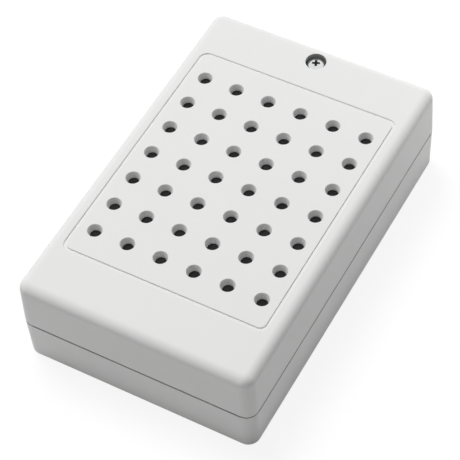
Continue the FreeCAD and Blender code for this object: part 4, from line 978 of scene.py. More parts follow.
@dataclass
class Screw:
    """A screw with a turned head and a rolled thread, standing on its seat."""

    head: float
    height: float
    shank: float
    length: float
    pitch: float
    drive: Drive = Drive.CROSS
    core_share: float = 0.74
    point: float = 0.0
    drive_span: float = 3.2 * MM
    drive_width: float = 0.75 * MM
    drive_depth: float = 1.2 * MM
    side_share: float = 0.3
    turn_share: float = 0.55
    turn_end: float = 62.0
    foot_shares: tuple[float, float] = (0.94, 0.35)
    crown_shares: tuple[float, float] = (0.42, 0.97)
    chamfer_share: float = 0.22
    slot_past: tuple[float, float] = (1.2, 1.5)
    slot_reach: float = 0.97
    cross_past: float = 1.4
    cross_foot: tuple[float, float, float] = (0.34, 0.6, 1.0)
    cross_reach: float = 0.75
    shade_levels: tuple[float, float] = (0.05, 0.7)
    shade_facing: float = 0.8
    sides: int = 48
    turn_steps: int = 20
    top_trim: float = 0.001 * MM
    thread_merge: float = 0.002 * MM
    thread_form: tuple[tuple[float, float], ...] = ((0.0, 0.0), (0.0, 0.7), (1.0, 1.0), (1.0, 1.12),
                                                    (0.0, 1.5), (0.0, 2.0))
    point_share: float = 0.35

    def mesh(self) -> BMesh:
        """The whole screw, its head on z = 0 and its shank below."""
        return gathered([self.head_mesh(), self.thread_mesh()])

    def seat(self, node: str) -> Vector:
        """Where the head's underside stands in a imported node."""
        high, centre = middle(node)[1:]
        return Vector((centre.x, centre.y, high.z - self.height))

    def head_mesh(self) -> BMesh:
        """The head with its recess.

        Returns:
            The head, standing on z = 0.
        """
        if self.drive is Drive.SLOT:
            return self.shaded(carved(lathe(self.flat_outline(), self.sides), self.slot()), self.slot_reach)
        head = lathe(self.round_outline(), self.sides)
        return self.shaded(carved(head, self.wing(0.0), self.wing(math.pi / 2)), self.cross_reach)

    def round_outline(self) -> Outline:
        """Half the outline of a rounded head.

        Returns:
            Pairs of radius and height, from the foot's middle to the crown's.
        """
        radius, height = self.head / 2, self.height
        side, turn = height * self.side_share, height * self.turn_share
        foot = [(0.0, 0.0), (radius * self.foot_shares[0], 0.0), (radius, side * self.foot_shares[1])]
        crown = [(radius * self.crown_shares[0], height * self.crown_shares[1]), (0.0, height)]
        return foot + arc(radius - turn, side, turn, 0.0, self.turn_end, steps=5) + crown

    def flat_outline(self) -> Outline:
        """Half the outline of a flat head.

        Returns:
            Pairs of radius and height, from the foot's middle to the top's.
        """
        radius, height = self.head / 2, self.height
        chamfer = height * self.chamfer_share
        return [(0.0, 0.0), (radius, 0.0), (radius, height - chamfer), (radius - chamfer, height),
                (0.0, height)]

    def slot(self) -> BMesh:
        """A straight slot across the head.

        Returns:
            What is cut out of the head.
        """
        half, reach = self.drive_width / 2, self.head / 2 * self.slot_past[0]
        return block(Vector((-half, -reach, self.height - self.drive_depth)),
                     Vector((half, reach, self.height * self.slot_past[1])))

    def shaded(self, head: BMesh, reach: float) -> BMesh:
        """Puts the faces down in the recess on the second slot, a dark colour that paints the shade where no
        light gets.

        Args:
            head: The head, its recess cut.
            reach: How far out the recess goes, as a share of the head's radius.

        Returns:
            The same head.
        """
        lowest, highest = self.shade_levels
        # Faces inside and down in the recess take the painted shade.
        for face in head.faces:
            spot = face.calc_center_median()
            inside = spot.xy.length < reach * self.head / 2 and spot.z > lowest * self.height
            sunk = face.normal.z < self.shade_facing or spot.z < highest * self.height
            face.material_index = int(inside and sunk)
        return head

    def wing(self, turn: float) -> BMesh:
        """One bar of the cross recess, narrowing as it goes down.

        Args:
            turn: Its turn about the screw's axis, in radians.

        Returns:
            What is cut out of the head.
        """
        low, high = self.height - self.drive_depth, self.height * self.cross_past
        wing = block(Vector((-self.drive_span / 2, -self.drive_width / 2, low)),
                     Vector((self.drive_span / 2, self.drive_width / 2, high)))
        foot = [v for v in wing.verts if v.co.z < (low + high) / 2]
        bmesh.ops.scale(wing, vec=self.cross_foot, verts=foot)
        return moved(wing, Vector(), turn)

    def thread_mesh(self) -> BMesh:
        """The shank: one pitch of the thread wound down its length, cut square at both ends.

        Returns:
            The shank, below z = 0.
        """
        crest, core = self.shank / 2, self.shank / 2 * self.core_share
        turns = int(self.length / self.pitch) + 2
        flank = self.pitch / 2
        bm = bmesh.new()
        marks = [(crest if out else core, -flank * down) for out, down in self.thread_form]
        verts = [bm.verts.new((radius, 0.0, self.pitch + z)) for radius, z in marks]
        edges = [bm.edges.new(pair) for pair in zip(verts, verts[1:])]
        bmesh.ops.spin(bm, geom=verts + edges, cent=(0.0, 0.0, 0.0), axis=UP, angle=math.tau * turns,
                       steps=self.turn_steps * turns, use_merge=False,
                       dvec=(0.0, 0.0, -self.pitch / self.turn_steps))
        bmesh.ops.remove_doubles(bm, verts=bm.verts, dist=self.thread_merge)
        for level, up in ((-self.top_trim, 1.0), (-self.length, -1.0)):
            bmesh.ops.bisect_plane(bm, geom=whole_of(bm), dist=TINY, plane_co=(0.0, 0.0, level),
                                   plane_no=(0.0, 0.0, up), clear_outer=True)
            bmesh.ops.holes_fill(bm, edges=[e for e in bm.edges if e.is_boundary], sides=0)
        if self.point:
            for vert in bm.verts:
                share = min(1.0, max(0.0, (vert.co.z + self.length) / self.point))
                vert.co.xy *= self.point_share + (1.0 - self.point_share) * share
        return cleaned(bm)


@dataclass
class CoverFixing:
    """The screw at the top of the cover, and the washer that keeps it there."""

    drive_turn: float = 22.0
    washer_play: float = 0.05 * MM
    screw: Screw = field(default_factory=lambda: Screw(
        head=5.2 * MM, height=2.0 * MM, shank=2.9 * MM, length=15.9 * MM, pitch=1.3 * MM, point=1.6 * MM,
        drive_width=0.9 * MM, side_share=0.55, turn_share=0.32))

    def build(self) -> None:
        """Builds the screw and its washer."""
        seat = self.screw.seat("cover_screw")
        turned = moved(self.screw.mesh(), seat, math.radians(self.drive_turn))
        finish = replace(BRIGHT_ZINC, name="cover_screw_zinc", centre=tuple(seat))
        settle("cross_head_screw", turned, [finish, SCREW_SHADE], "cover_screw")
        foot, top, radius, centre = round_room("screw_washer")
        inner = self.screw.shank / 2 + self.washer_play
        washer = soften(ring(inner, radius, foot, top), width=0.12 * MM)
        settle("retaining_washer", over(washer, centre), [NYLON], "screw_washer")


# Loudspeaker


@dataclass
class Loudspeaker:
    """The loudspeaker: magnet system, basket, moving parts, gasket, tags and screws."""

    segments: int = 96
    plate_thick: float = 1.8 * MM
    plate_chamfer: float = 0.6 * MM
    plate_bore: float = 5.85 * MM
    pole: float = 4.7 * MM
    pole_chamfer: float = 0.2 * MM
    magnet_bore: float = 7.45 * MM
    cone_thick: float = 0.35 * MM
    cone_neck: float = 5.45 * MM
    cone_edge: float = 18.0 * MM
    cone_lip: float = 0.6 * MM
    cone_drop: float = 0.1 * MM
    cone_bow: float = 0.35 * MM
    cone_steps: int = 14
    ribs: int = 5
    rib_rise: float = 0.04 * MM
    rib_start: float = 0.3
    cap_thick: float = 0.25 * MM
    roll_thick: float = 0.3 * MM
    roll_wide: float = 3.4 * MM
    roll_rise: float = 1.1 * MM
    roll_glue: float = 0.8 * MM
    roll_steps: int = 16
    flange_inner: float = 21.6 * MM
    spider_thick: float = 0.28 * MM
    spider_inner: float = 5.55 * MM
    spider_flats: tuple[float, float] = (1.2 * MM, 1.6 * MM)
    spider_waves: int = 4
    wave_steps: int = 10
    spider_depth: float = 0.35 * MM
    coil_bore: float = 5.05 * MM
    former_wall: float = 0.15 * MM
    wire_height: float = 3.5 * MM
    wire_depth: float = 0.3 * MM
    wire_turns: int = 13
    turn_pitch: float = 0.25 * MM
    gasket_wide: float = 2.1 * MM
    gasket_crown: float = 0.25 * MM
    post_circle: float = 54.4 * MM
    tag_turn: float = math.radians(-112.0)
    tag_spacing: float = 5.0 * MM
    tag_face: float = 23.5 * MM
    tag_thick: float = 0.4 * MM
    tag_wide: float = 1.8 * MM
    rivet: float = 0.7 * MM
    rivet_drop: float = 1.2 * MM
    solder_blob: float = 0.85 * MM
    blob_lift: float = 1.4 * MM
    blob_out: float = 0.3 * MM
    blob_form: tuple[float, float, float] = (0.42, 0.95, 1.25)
    screw_stop: float = 0.7
    screw: Screw = field(default_factory=lambda: Screw(
        head=5.4 * MM, height=1.6 * MM, shank=2.6 * MM, length=7.4 * MM, pitch=1.0 * MM,
        drive_depth=0.9 * MM))

    def build(self) -> None:
        """Builds every piece of the drive unit."""
        self.magnet_system()
        self.basket()
        self.cone()
        self.cap()
        self.surround()
        self.spider()
        self.coil()
        self.gasket()
        self.screws()
        self.tags()

    def magnet_system(self) -> None:
        """The back plate with its pole, the ferrite ring and the front plate."""
        foot, top, radius, _ = round_room("pole_plate")
        plate, cut, nick = foot + self.plate_thick, self.plate_chamfer, self.pole_chamfer
        profile = [(0.0, foot), (radius - cut, foot), (radius, foot + cut), (radius, plate),
                   (self.pole, plate), (self.pole, top - nick), (self.pole - nick, top), (0.0, top)]
        back = soften(lathe(profile, self.segments), width=0.25 * MM, segments=3)
        settle("back_plate", back, [PRESSED_STEEL], "pole_plate")
        for name, node, bore, edge, finish in (
                ("ferrite_ring", "magnet", self.magnet_bore, 0.3 * MM, FERRITE),
                ("front_plate", "top_plate", self.plate_bore, 0.12 * MM, PRESSED_STEEL)):
            foot, top, radius, _ = round_room(node)
            turned = ring(bore, radius, foot, top, self.segments)
            settle(name, soften(turned, edge, segments=3), [finish], node)

    def basket(self) -> None:
        """The pressed dish with its windows."""
        edged("pressed_basket", "speaker_basket", PRESSED_STEEL, width=0.12 * MM, angle=35.0)

    def cone(self) -> None:
        """The paper cone, gently bowed and pressed with fine ribs."""
        foot, top = round_room("speaker_cone")[:2]
        face, back = [], []
        for step in range(self.cone_steps + 1):
            share = step / self.cone_steps
            radius = self.cone_neck + (self.cone_edge - self.cone_lip - self.cone_neck) * share
            level = foot + (top - self.cone_drop - foot) * share - self.cone_bow * math.sin(math.pi * share)
            if share > self.rib_start:
                level += self.rib_rise * math.sin(share * math.tau * self.ribs)
            back.append((radius, min(level, top - self.cone_thick)))
            face.append((radius, min(level + self.cone_thick, top)))
        lip = [(self.cone_edge, top - self.cone_thick), (self.cone_edge, top)]
        settle("paper_cone", lathe(back + lip + face[::-1], self.segments), [CONE_PAPER], "speaker_cone")

    def cap(self) -> None:
        """The domed cap over the cone's neck."""
        foot, top, radius, _ = round_room("dust_cap")
        rise = top - foot - self.cap_thick
        upper = arc(0.0, foot + self.cap_thick, radius, 90.0, 0.0, steps=12, rise=rise)
        lower = arc(0.0, foot, radius - self.cap_thick, 0.0, 90.0, steps=12, rise=rise)
        settle("cap_dome", lathe(upper + lower), [CAP_CLOTH], "dust_cap")

    def surround(self) -> None:
        """The rubber roll, between its rim on the basket and its lip on the cone."""
        foot, _, outer, _ = round_room("cone_surround")
        top, half = foot + self.roll_thick, self.roll_wide / 2
        crest = self.flange_inner - half
        inner = crest - half - self.roll_glue
        upper = arc(crest, top, half, 0.0, 180.0, steps=self.roll_steps, rise=self.roll_rise)
        turns = [math.pi * step / self.roll_steps for step in range(self.roll_steps + 1)]
        lower = [(crest + (half - self.roll_thick * math.sin(turn)) * math.cos(turn),
                  foot + self.roll_rise * math.sin(turn)) for turn in turns]
        profile = [(outer, foot), (outer, top)] + upper + [(inner, top), (inner, foot)] + lower[::-1]
        rolled = lathe(profile, self.segments)
        piece = settle("rubber_surround", rolled, [ROLL_RUBBER], smooth=50.0, body="base")
        self.hang_between(piece, "cone_surround", crest + half, crest - half)

    def spider(self) -> None:
        """The waved disc that centres the coil."""
        foot, top, outer, _ = round_room("spider")
        level = (foot + top - self.spider_thick) / 2
        first, last = self.spider_inner + self.spider_flats[0], outer - self.spider_flats[1]
        steps = self.spider_waves * self.wave_steps
        lower = [(self.spider_inner, level)]
        for step in range(steps + 1):
            share = step / steps
            wave = self.spider_depth * math.sin(share * self.spider_waves * math.tau)
            lower.append((first + (last - first) * share, level + wave))
        lower.append((outer, level))
        upper = [(radius, height + self.spider_thick) for radius, height in lower]
        waved = lathe(lower + upper[::-1], self.segments)
        piece = settle("waved_spider", waved, [SPIDER_CLOTH], smooth=60.0, body="base")
        self.hang_between(piece, "spider", last, first)

    def hang_between(self, piece: bpy.types.Object, node: str, still: float, moving: float) -> None:
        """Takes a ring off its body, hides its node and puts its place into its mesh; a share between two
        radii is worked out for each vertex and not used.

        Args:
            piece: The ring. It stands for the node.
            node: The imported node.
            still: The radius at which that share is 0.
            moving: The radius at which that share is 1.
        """
        piece.parent = None
        del piece["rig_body"]
        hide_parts(node)
        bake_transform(piece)
        for vert in piece.data.vertices:
            share = (still - math.hypot(vert.co.x, vert.co.y)) / (still - moving)
            share = min(1.0, max(0.0, share))

    def coil(self) -> None:
        """The former with its wound wire, turn on turn."""
        foot, top = round_room("voice_coil")[:2]
        wall = self.coil_bore + self.former_wall
        former = ring(self.coil_bore, wall, foot, top, self.segments)
        profile = [(wall, foot)]
        crest = self.turn_pitch / 2
        for turn in range(self.wire_turns):
            level = foot + self.turn_pitch * (turn + 0.5)
            profile += arc(wall + self.wire_depth - crest, level, crest, -60.0, 60.0, steps=4)
        profile.append((wall, foot + self.wire_height))
        whole = gathered([finished_with(former, 0), finished_with(lathe(profile, self.segments), 1)])
        settle("wound_coil", whole, [FORMER_PAPER, COPPER], "voice_coil")

    def gasket(self) -> None:
        """The foam ring that the cover presses on."""
        foot, top, outer, _ = round_room("speaker_gasket")
        inner, crown = outer - self.gasket_wide, self.gasket_crown
        profile = [(inner, foot), (outer, foot)] + arc(outer - crown, top - crown, crown, 0.0, 90.0, steps=4)
        profile += arc(inner + crown, top - crown, crown, 90.0, 180.0, steps=4)
        piece = settle("foam_gasket", lathe(profile, self.segments), [FOAM_GREY], "speaker_gasket")

    def screws(self) -> None:
        """The four screws whose heads hold the rim down, each stopped at its own turn."""
        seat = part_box("speaker_screws")[1].z - self.screw.height
        parts = []
        for quarter in range(4):
            turn = math.radians(45.0 + 90.0 * quarter)
            spot = Vector((math.cos(turn), math.sin(turn), 0.0)) * self.post_circle / 2 + UP * seat
            parts.append(moved(self.screw.mesh(), spot, turn + self.screw_stop * quarter))
        settle("rim_screws", gathered(parts), [YELLOW_ZINC, SCREW_SHADE], "speaker_screws")

    def tags(self) -> None:
        """The insulating strip, its two riveted tags and the solder on them."""
        edged("tag_strip", "tag_board", PHENOLIC, width=0.1 * MM, angle=30.0)
        low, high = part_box("solder_tags")
        face, half = self.tag_face, self.tag_wide / 2
        parts = []
        for side in (-1, 1):
            across = side * self.tag_spacing / 2
            blade = block(Vector((face, across - half, low.z)),
                          Vector((face + self.tag_thick, across + half, high.z)), edge=0.08 * MM)
            rivet = tipped(rod(self.rivet, 0.0, self.rivet / 2, segments=20, taper=0.7))
            moved(rivet, Vector((face + self.tag_thick / 2, across, high.z - self.rivet_drop)))
            blob = bmesh.new()
            bmesh.ops.create_uvsphere(blob, u_segments=16, v_segments=10, radius=self.solder_blob)
            bmesh.ops.scale(blob, vec=self.blob_form, verts=blob.verts)
            moved(blob, Vector((face + self.blob_out, across, low.z + self.blob_lift)))
            parts += [finished_with(blade, 0), finished_with(rivet, 0), finished_with(blob, 1)]
        whole = moved(gathered(parts), Vector(), self.tag_turn)
        settle("riveted_tags", whole, [TINNED, SOLDER], "solder_tags")


# Amplifier board


@dataclass
class AmplifierBoard:
    """The circuit board and what is soldered to it."""

    sleeve_round: float = 0.4 * MM
    sleeve_foot: float = 0.3 * MM
    fold_share: float = 0.2
    fold_slope: float = 0.1 * MM
    lid_band: float = 0.3 * MM
    bung_inset: float = 0.6 * MM
    bung_band: float = 0.1 * MM
    groove: tuple[float, float] = (1.2 * MM, 1.9 * MM)
    groove_depth: float = 0.35 * MM
    can_dip: float = 0.12 * MM
    stripe_half: float = math.radians(26.0)
    stripe_foot: float = 2.0 * MM
    score_share: float = 0.6
    score_half: float = 0.12 * MM
    score_deep: float = 0.2 * MM
    chip_size: tuple[float, float] = (9.8 * MM, 6.3 * MM)
    chip_lift: float = 0.5 * MM
    chip_draft: tuple[float, float, float] = (0.965, 0.94, 1.0)
    notch: float = 0.8 * MM
    notch_deep: float = 0.4 * MM
    dot: float = 0.45 * MM
    dot_deep: float = 0.12 * MM
    dot_inset: tuple[float, float] = (1.3 * MM, 1.25 * MM)
    chip_pitch: float = 2.54 * MM
    chip_legs: int = 4
    chip_span: float = 7.6 * MM
    leg_start: float = 3.05 * MM
    leg_wide: float = 0.9 * MM
    leg_thick: float = 0.3 * MM
    leg_bend: tuple[float, float] = (0.1 * MM, 0.12 * MM)
    leg_past: float = 0.02 * MM
    narrow_rise: float = 0.6 * MM
    narrow_form: tuple[float, float, float] = (0.55, 1.0, 1.0)
    lead: float = 0.55 * MM
    resistor: float = 2.3 * MM
    resistor_long: float = 6.3 * MM
    resistor_reach: float = 7.6 * MM
    resistor_round: float = 0.35 * MM
    cuff: float = 1.6 * MM
    cuff_slope: tuple[float, float] = (0.1 * MM, 0.35 * MM)
    band_clear: float = 0.05 * MM
    waist_share: float = 0.86
    lead_bend: float = 0.7 * MM
    lead_stub: float = 0.75 * MM
    band_half: float = 0.32 * MM
    band_levels: tuple[float, ...] = (-2.35 * MM, -0.95 * MM, 0.0, 2.25 * MM)
    resistor_places: tuple[tuple[float, float], ...] = ((-19.5 * MM, -36.4 * MM), (-19.5 * MM, -38.9 * MM),
                                                        (-4.7 * MM, -36.4 * MM))
    resistor_bands: tuple[tuple[str, ...], ...] = (("brown", "black", "orange", "gold"),
                                                   ("yellow", "orange", "brown", "gold"),
                                                   ("brown", "black", "black", "gold"))
    disc: float = 4.6 * MM
    disc_thick: float = 1.8 * MM
    disc_lift: float = 1.0 * MM
    disc_rim: float = 0.32
    run_radius: float = 0.34 * MM
    run_rise: float = 0.35 * MM
    run_taper: float = 2.0
    disc_places: tuple[float, ...] = (-41.2 * MM, -46.4 * MM)
    rotor_chamfer: float = 0.3 * MM
    slot_wide: float = 0.7 * MM
    slot_deep: float = 0.7 * MM
    slot_share: float = 0.68
    pointer: float = 0.5 * MM
    pointer_share: float = 0.8
    sunk_share: float = 0.9
    sunk_slack: float = 0.01 * MM
    plug_pitch: float = 2.5 * MM
    plug_bore: float = 0.72 * MM
    plug_deep: float = 1.6 * MM
    window_half: tuple[float, float, float] = (0.4 * MM, 0.5 * MM, 1.0 * MM)
    window_drop: float = 2.6 * MM
    ink: float = 0.025 * MM
    ink_line: float = 0.15 * MM
    can_gap: float = 0.45 * MM
    box_gap: float = 0.35 * MM
    chip_ink: tuple[float, float, float] = (10.4 * MM, 5.2 * MM, 0.0)
    screw_places: tuple[tuple[float, float], ...] = ((-28.5 * MM, -37.5 * MM), (2.2 * MM, -48.0 * MM))
    screw_stops: tuple[float, float] = (0.6, 1.6)
    solder_form: tuple[tuple[float, float], ...] = ((0.35 * MM, -0.72 * MM), (0.45 * MM, -0.45 * MM),
                                                    (0.62 * MM, -0.2 * MM), (0.95 * MM, 0.0))
    screw: Screw = field(default_factory=lambda: Screw(
        head=4.4 * MM, height=1.5 * MM, shank=2.2 * MM, length=5.45 * MM, pitch=0.9 * MM,
        drive_span=2.6 * MM, drive_width=0.65 * MM, drive_depth=0.9 * MM))

    def build(self) -> None:
        """Builds the board and everything on it."""
        edged("amplifier_board", "circuit_board", BOARD_GREEN, width=0.05 * MM, segments=1, angle=50.0)
        self.screws()
        self.capacitor("filter_can", "filter_capacitor", stripe=200.0)
        self.capacitor("coupling_can", "coupling_capacitor", stripe=20.0)
        self.chip()
        self.resistors()
        self.discs()
        self.trimmer()
        self.header()
        self.legend()
        self.joints()

    @property
    def under(self) -> float:
        """The height of the board's lower face."""
        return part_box("circuit_board")[0].z

    @property
    def top(self) -> float:
        """The height of the board's upper face."""
        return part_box("circuit_board")[1].z

    def screws(self) -> None:
        """The two screws through the board."""
        parts = [moved(self.screw.mesh(), Vector((x, y, self.top)), stop)
                 for (x, y), stop in zip(self.screw_places, self.screw_stops)]
        settle("board_fixings", gathered(parts), [YELLOW_ZINC, SCREW_SHADE], "board_screws")

    def capacitor(self, name: str, node: str, stripe: float) -> None:
        """A sleeved can with a rolled groove, a scored top and a stripe down one side.

        Args:
            name: The piece's name.
            node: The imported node.
            stripe: The stripe's direction in degrees.
        """
        foot, top, radius, centre = round_room(node)
        fold, turn = radius * self.fold_share, self.sleeve_round
        first, last = self.groove
        wall = [(radius - self.sleeve_foot, foot), (radius, foot + self.sleeve_foot), (radius, foot + first)]
        wall += [(radius - self.groove_depth, foot + (first + last) / 2), (radius, foot + last)]
        wall += arc(radius - turn, top - turn, turn, 0.0, 90.0, steps=5)
        dip = top - self.can_dip
        wall += [(radius - fold, top), (radius - fold - self.fold_slope, dip), (0.0, dip)]
        can = lathe([(0.0, foot)] + wall, segments=72)
        for face in can.faces:
            spot = face.calc_center_median()
            reach = spot.xy.length
            around = (math.atan2(spot.y, spot.x) - math.radians(stripe) + math.pi) % math.tau - math.pi
            if reach < radius - fold and spot.z > top - self.lid_band:
                face.material_index = 2
            elif reach < radius - self.bung_inset and spot.z < foot + self.bung_band:
                face.material_index = 3
            elif abs(around) < self.stripe_half and spot.z > foot + self.stripe_foot:
                face.material_index = 1
        for turn in (0.0, math.pi / 2):
            long, half, deep = radius * self.score_share, self.score_half, self.score_deep
            score = block(Vector((-long, -half, top - deep)), Vector((long, half, top + deep)))
            can = carved(can, moved(score, Vector(), turn))
        over(can, centre)
        settle(name, can, [SLEEVE_BLACK, SLEEVE_STRIPE, CAN_TOP, BUNG_RUBBER], node)

    def chip(self) -> None:
        """The amplifier: a drafted epoxy body, its index notch and eight formed legs."""
        high, centre = middle("amplifier_chip")[1:]
        foot = self.top + self.chip_lift
        length, width = (size / 2 for size in self.chip_size)
        body = block(Vector((-length, -width, foot)), Vector((length, width, high.z)))
        waist = (foot + high.z) / 2
        bmesh.ops.bisect_plane(body, geom=whole_of(body), dist=TINY, plane_co=UP * waist, plane_no=UP)
        ends = [v for v in body.verts if abs(v.co.z - waist) > TINY]
        bmesh.ops.scale(body, vec=self.chip_draft, verts=ends)
        soften(body, width=0.12 * MM)
        notch = rod(self.notch, high.z - self.notch_deep, high.z + MM, segments=32)
        moved(notch, Vector((-length, 0.0, 0.0)))
        dot = rod(self.dot, high.z - self.dot_deep, high.z + MM, segments=24)
        moved(dot, Vector((self.dot_inset[0] - length, self.dot_inset[1] - width, 0.0)))
        parts = [finished_with(carved(body, notch, dot), 0)]
        parts += [finished_with(self.chip_leg(across, side, waist), 1) for across, side in self.leg_places()]
        whole = over(gathered(parts), centre)
        settle("amplifier_package", whole, [CHIP_EPOXY, TINNED], "amplifier_chip")

    def leg_places(self) -> list[tuple[float, int]]:
        """Each leg's place along the chip and the side it is on, -1 or 1."""
        row = [(leg - (self.chip_legs - 1) / 2) * self.chip_pitch for leg in range(self.chip_legs)]
        return [(across, side) for side in (-1, 1) for across in row]

    def chip_leg(self, across: float, side: int, shoulder: float) -> BMesh:
        """One leg: out of the body, over the shoulder and down through the board.

        Args:
            across: Its place along the body.
            side: Which side of the body.
            shoulder: The height at which it leaves the body.

        Returns:
            The leg.
        """
        out = self.chip_span / 2
        path = [(self.leg_start, shoulder), (out - self.leg_bend[0], shoulder),
                (out, shoulder - self.leg_bend[1]), (out, self.under - self.leg_past)]
        bm = bmesh.new()
        verts = [bm.verts.new((across, side * y, z)) for y, z in path]
        edges = [bm.edges.new(pair) for pair in zip(verts, verts[1:])]
        wide = bmesh.ops.extrude_edge_only(bm, edges=edges)
        new = [v for v in wide["geom"] if isinstance(v, BMVert)]
        bmesh.ops.translate(bm, vec=(self.leg_wide, 0.0, 0.0), verts=new)
        bmesh.ops.translate(bm, vec=(-self.leg_wide / 2, 0.0, 0.0), verts=bm.verts)
        bmesh.ops.recalc_face_normals(bm, faces=bm.faces)
        bmesh.ops.solidify(bm, geom=bm.faces[:], thickness=-self.leg_thick * side)
        narrow = [v for v in bm.verts if v.co.z < self.top + self.narrow_rise]
        bmesh.ops.scale(bm, vec=self.narrow_form, verts=narrow,
                        space=Matrix.Translation((-across, 0.0, 0.0)))
        return soften(cleaned(bm), width=0.04 * MM, segments=1, angle=50.0)

    def resistors(self) -> None:
        """Three axial resistors: waisted bodies with colour bands, and their bent leads."""
        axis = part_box("resistors")[1].z - self.resistor / 2
        names = sorted({name for bands in self.resistor_bands for name in bands})
        inks = [Finish(f"band_{name}", BAND_COLOURS[name], roughness=0.32, drift=0.03, coat=0.5)
                for name in names]
        parts = []
        for (x, y), bands in zip(self.resistor_places, self.resistor_bands):
            parts.append(moved(tipped(self.resistor_body(bands, names)), Vector((x, y, axis))))
            parts.append(finished_with(moved(self.bridge_lead(axis), Vector((x, y, 0.0))), 1))
        settle("axial_resistors", gathered(parts), [RESISTOR_TAN, TINNED] + inks, "resistors")

    def resistor_body(self, bands: Sequence[str], names: Sequence[str]) -> BMesh:
        """One resistor's body about the upright axis.

        Args:
            bands: Its four colours.
            names: All the colours in slot order.

        Returns:
            The body, its band faces on their slots.
        """
        half, thick, turn = self.resistor_long / 2, self.resistor / 2, self.resistor_round
        waist = thick * self.waist_share
        near, far, clear = self.cuff - self.cuff_slope[0], self.cuff + self.cuff_slope[1], self.band_clear
        marks = [level + side * self.band_half for level in self.band_levels for side in (-1, 1)]
        profile = [(0.0, -half)] + arc(thick - turn, -half + turn, turn, -90.0, 0.0, steps=4)
        for radius, first, last in ((thick, turn - half, near - clear - half),
                                    (waist, far + clear - half, half - far - clear),
                                    (thick, half - near + clear, half - turn)):
            profile += [(radius, mark) for mark in marks if first < mark < last]
        for side in (-1, 1):
            profile += [(thick, side * (half - near)), (waist, side * (half - far))]
        profile += arc(thick - turn, half - turn, turn, 0.0, 90.0, steps=4) + [(0.0, half)]
        body = lathe(sorted(profile, key=lambda point: point[1]), segments=40)
        for face in body.faces:
            level = face.calc_center_median().z
            for place, name in zip(self.band_levels, bands):
                if abs(level - place) < self.band_half:
                    face.material_index = 2 + names.index(name)
        return body

    def bridge_lead(self, axis: float) -> BMesh:
        """A resistor's lead: along its axis and bent down into the board at both ends.

        Args:
            axis: The height of the resistor's axis.

        Returns:
            The lead.
        """
        reach, bend = self.resistor_reach / 2, self.lead_bend
        right = arc(reach - bend, axis - bend, bend, 90.0, 0.0, steps=5)
        right.append((reach, self.under - self.lead_stub))
        path = [(-x, z) for x, z in right[::-1]] + right
        return wire_along([Vector((x, 0.0, z)) for x, z in path], self.lead)

    def discs(self) -> None:
        """Two dipped ceramic discs with lacquer run down their leads."""
        centre = middle("disc_capacitors")[2]
        level = self.top + self.disc_lift + self.disc / 2
        half, rim = self.disc_thick / 2, self.disc_thick * self.disc_rim
        profile = [(0.0, -half)] + arc(self.disc / 2 - rim, -half + rim, rim, -90.0, 0.0, steps=4)
        profile += arc(self.disc / 2 - rim, half - rim, rim, 0.0, 90.0, steps=4) + [(0.0, half)]
        parts = []
        for y in self.disc_places:
            parts.append(moved(tipped(lathe(profile, segments=40)), Vector((centre.x, y, level))))
            for side in (-1, 1):
                spot = Vector((centre.x, y + side * self.disc / 4, 0.0))
                run = rod(self.run_radius, self.top + self.run_rise, level - self.disc / 4, segments=16,
                          taper=self.run_taper)
                parts.append(moved(run, spot))
                parts.append(finished_with(moved(rod(self.lead / 2, self.top, level, segments=16), spot), 1))
        settle("ceramic_discs", gathered(parts), [DISC_TAN, TINNED], "disc_capacitors")

    def trimmer(self) -> None:
        """The volume trimmer and the rotor that a screwdriver turns."""
        edged("trimmer_case", "volume_trimmer", TRIMMER_BLUE, width=0.12 * MM)
        foot, top, radius, centre = round_room("trimmer_rotor")
        cut, half, long = self.rotor_chamfer, self.slot_wide / 2, radius * self.slot_share
        profile = [(0.0, foot), (radius, foot), (radius, top - cut), (radius - cut, top), (0.0, top)]
        slot = block(Vector((-half, -long, top - self.slot_deep)), Vector((half, long, top + MM)))
        pointer = rod(self.pointer, top - self.pointer / 2, top + MM, 3)
        moved(pointer, Vector((0.0, radius * self.pointer_share, 0.0)), math.pi / 2)
        rotor = carved(lathe(profile), slot, pointer)
        # Faces sunk in the slot and the pointer take the painted shade.
        for face in rotor.faces:
            place = face.calc_center_median()
            sunk = foot + self.sunk_slack < place.z < top - self.sunk_slack
            face.material_index = int(sunk and place.xy.length < self.sunk_share * radius)
        soften(rotor, width=0.05 * MM, segments=1, angle=50.0)
        settle("volume_rotor", over(rotor, centre), [ROTOR_WHITE, ROTOR_SHADE], "trimmer_rotor")

    def header(self) -> None:
        """The two-way header and the plug pushed into it."""
        edged("two_way_header", "lead_header", HEADER_WHITE, width=0.15 * MM)
        low, high, centre = middle("lead_plug")
        plug = block(low, high, edge=0.2 * MM)
        cutters = []
        for side in (-1, 1):
            across = centre.x + side * self.plug_pitch / 2
            bore = rod(self.plug_bore, high.z - self.plug_deep, high.z + MM, segments=24)
            cutters.append(moved(bore, Vector((across, centre.y, 0.0))))
            half = Vector(self.window_half)
            cutters.append(moved(block(-half, half), Vector((across, low.y, high.z - self.window_drop))))
        settle("two_way_plug", carved(plug, *cutters), [HEADER_WHITE], "lead_plug")

    def legend(self) -> None:
        """Thin printed outlines round the parts, with no lettering."""
        parts = []
        for node in ("filter_capacitor", "coupling_capacitor"):
            _, _, radius, centre = round_room(node)
            inner = radius + self.can_gap
            parts.append(over(ring(inner, inner + self.ink_line, self.top, self.top + self.ink), centre))
        parts += [self.printed_box(low, high) for low, high in self.printed_boxes()]
        settle("board_legend", gathered(parts), [LEGEND_INK], body="base")

    def printed_boxes(self) -> list[tuple[Vector, Vector]]:
        """Corners of the printed rectangles round the trimmer, the header and the chip.

        Returns:
            For each, its lowest and its highest corner.
        """
        grow = Vector((self.box_gap, self.box_gap, 0.0))
        boxes = []
        for node in ("volume_trimmer", "lead_header"):
            low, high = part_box(node)
            boxes.append((low - grow, high + grow))
        centre = middle("amplifier_chip")[2]
        half = Vector(self.chip_ink) / 2
        boxes.append((centre - half, centre + half))
        return boxes

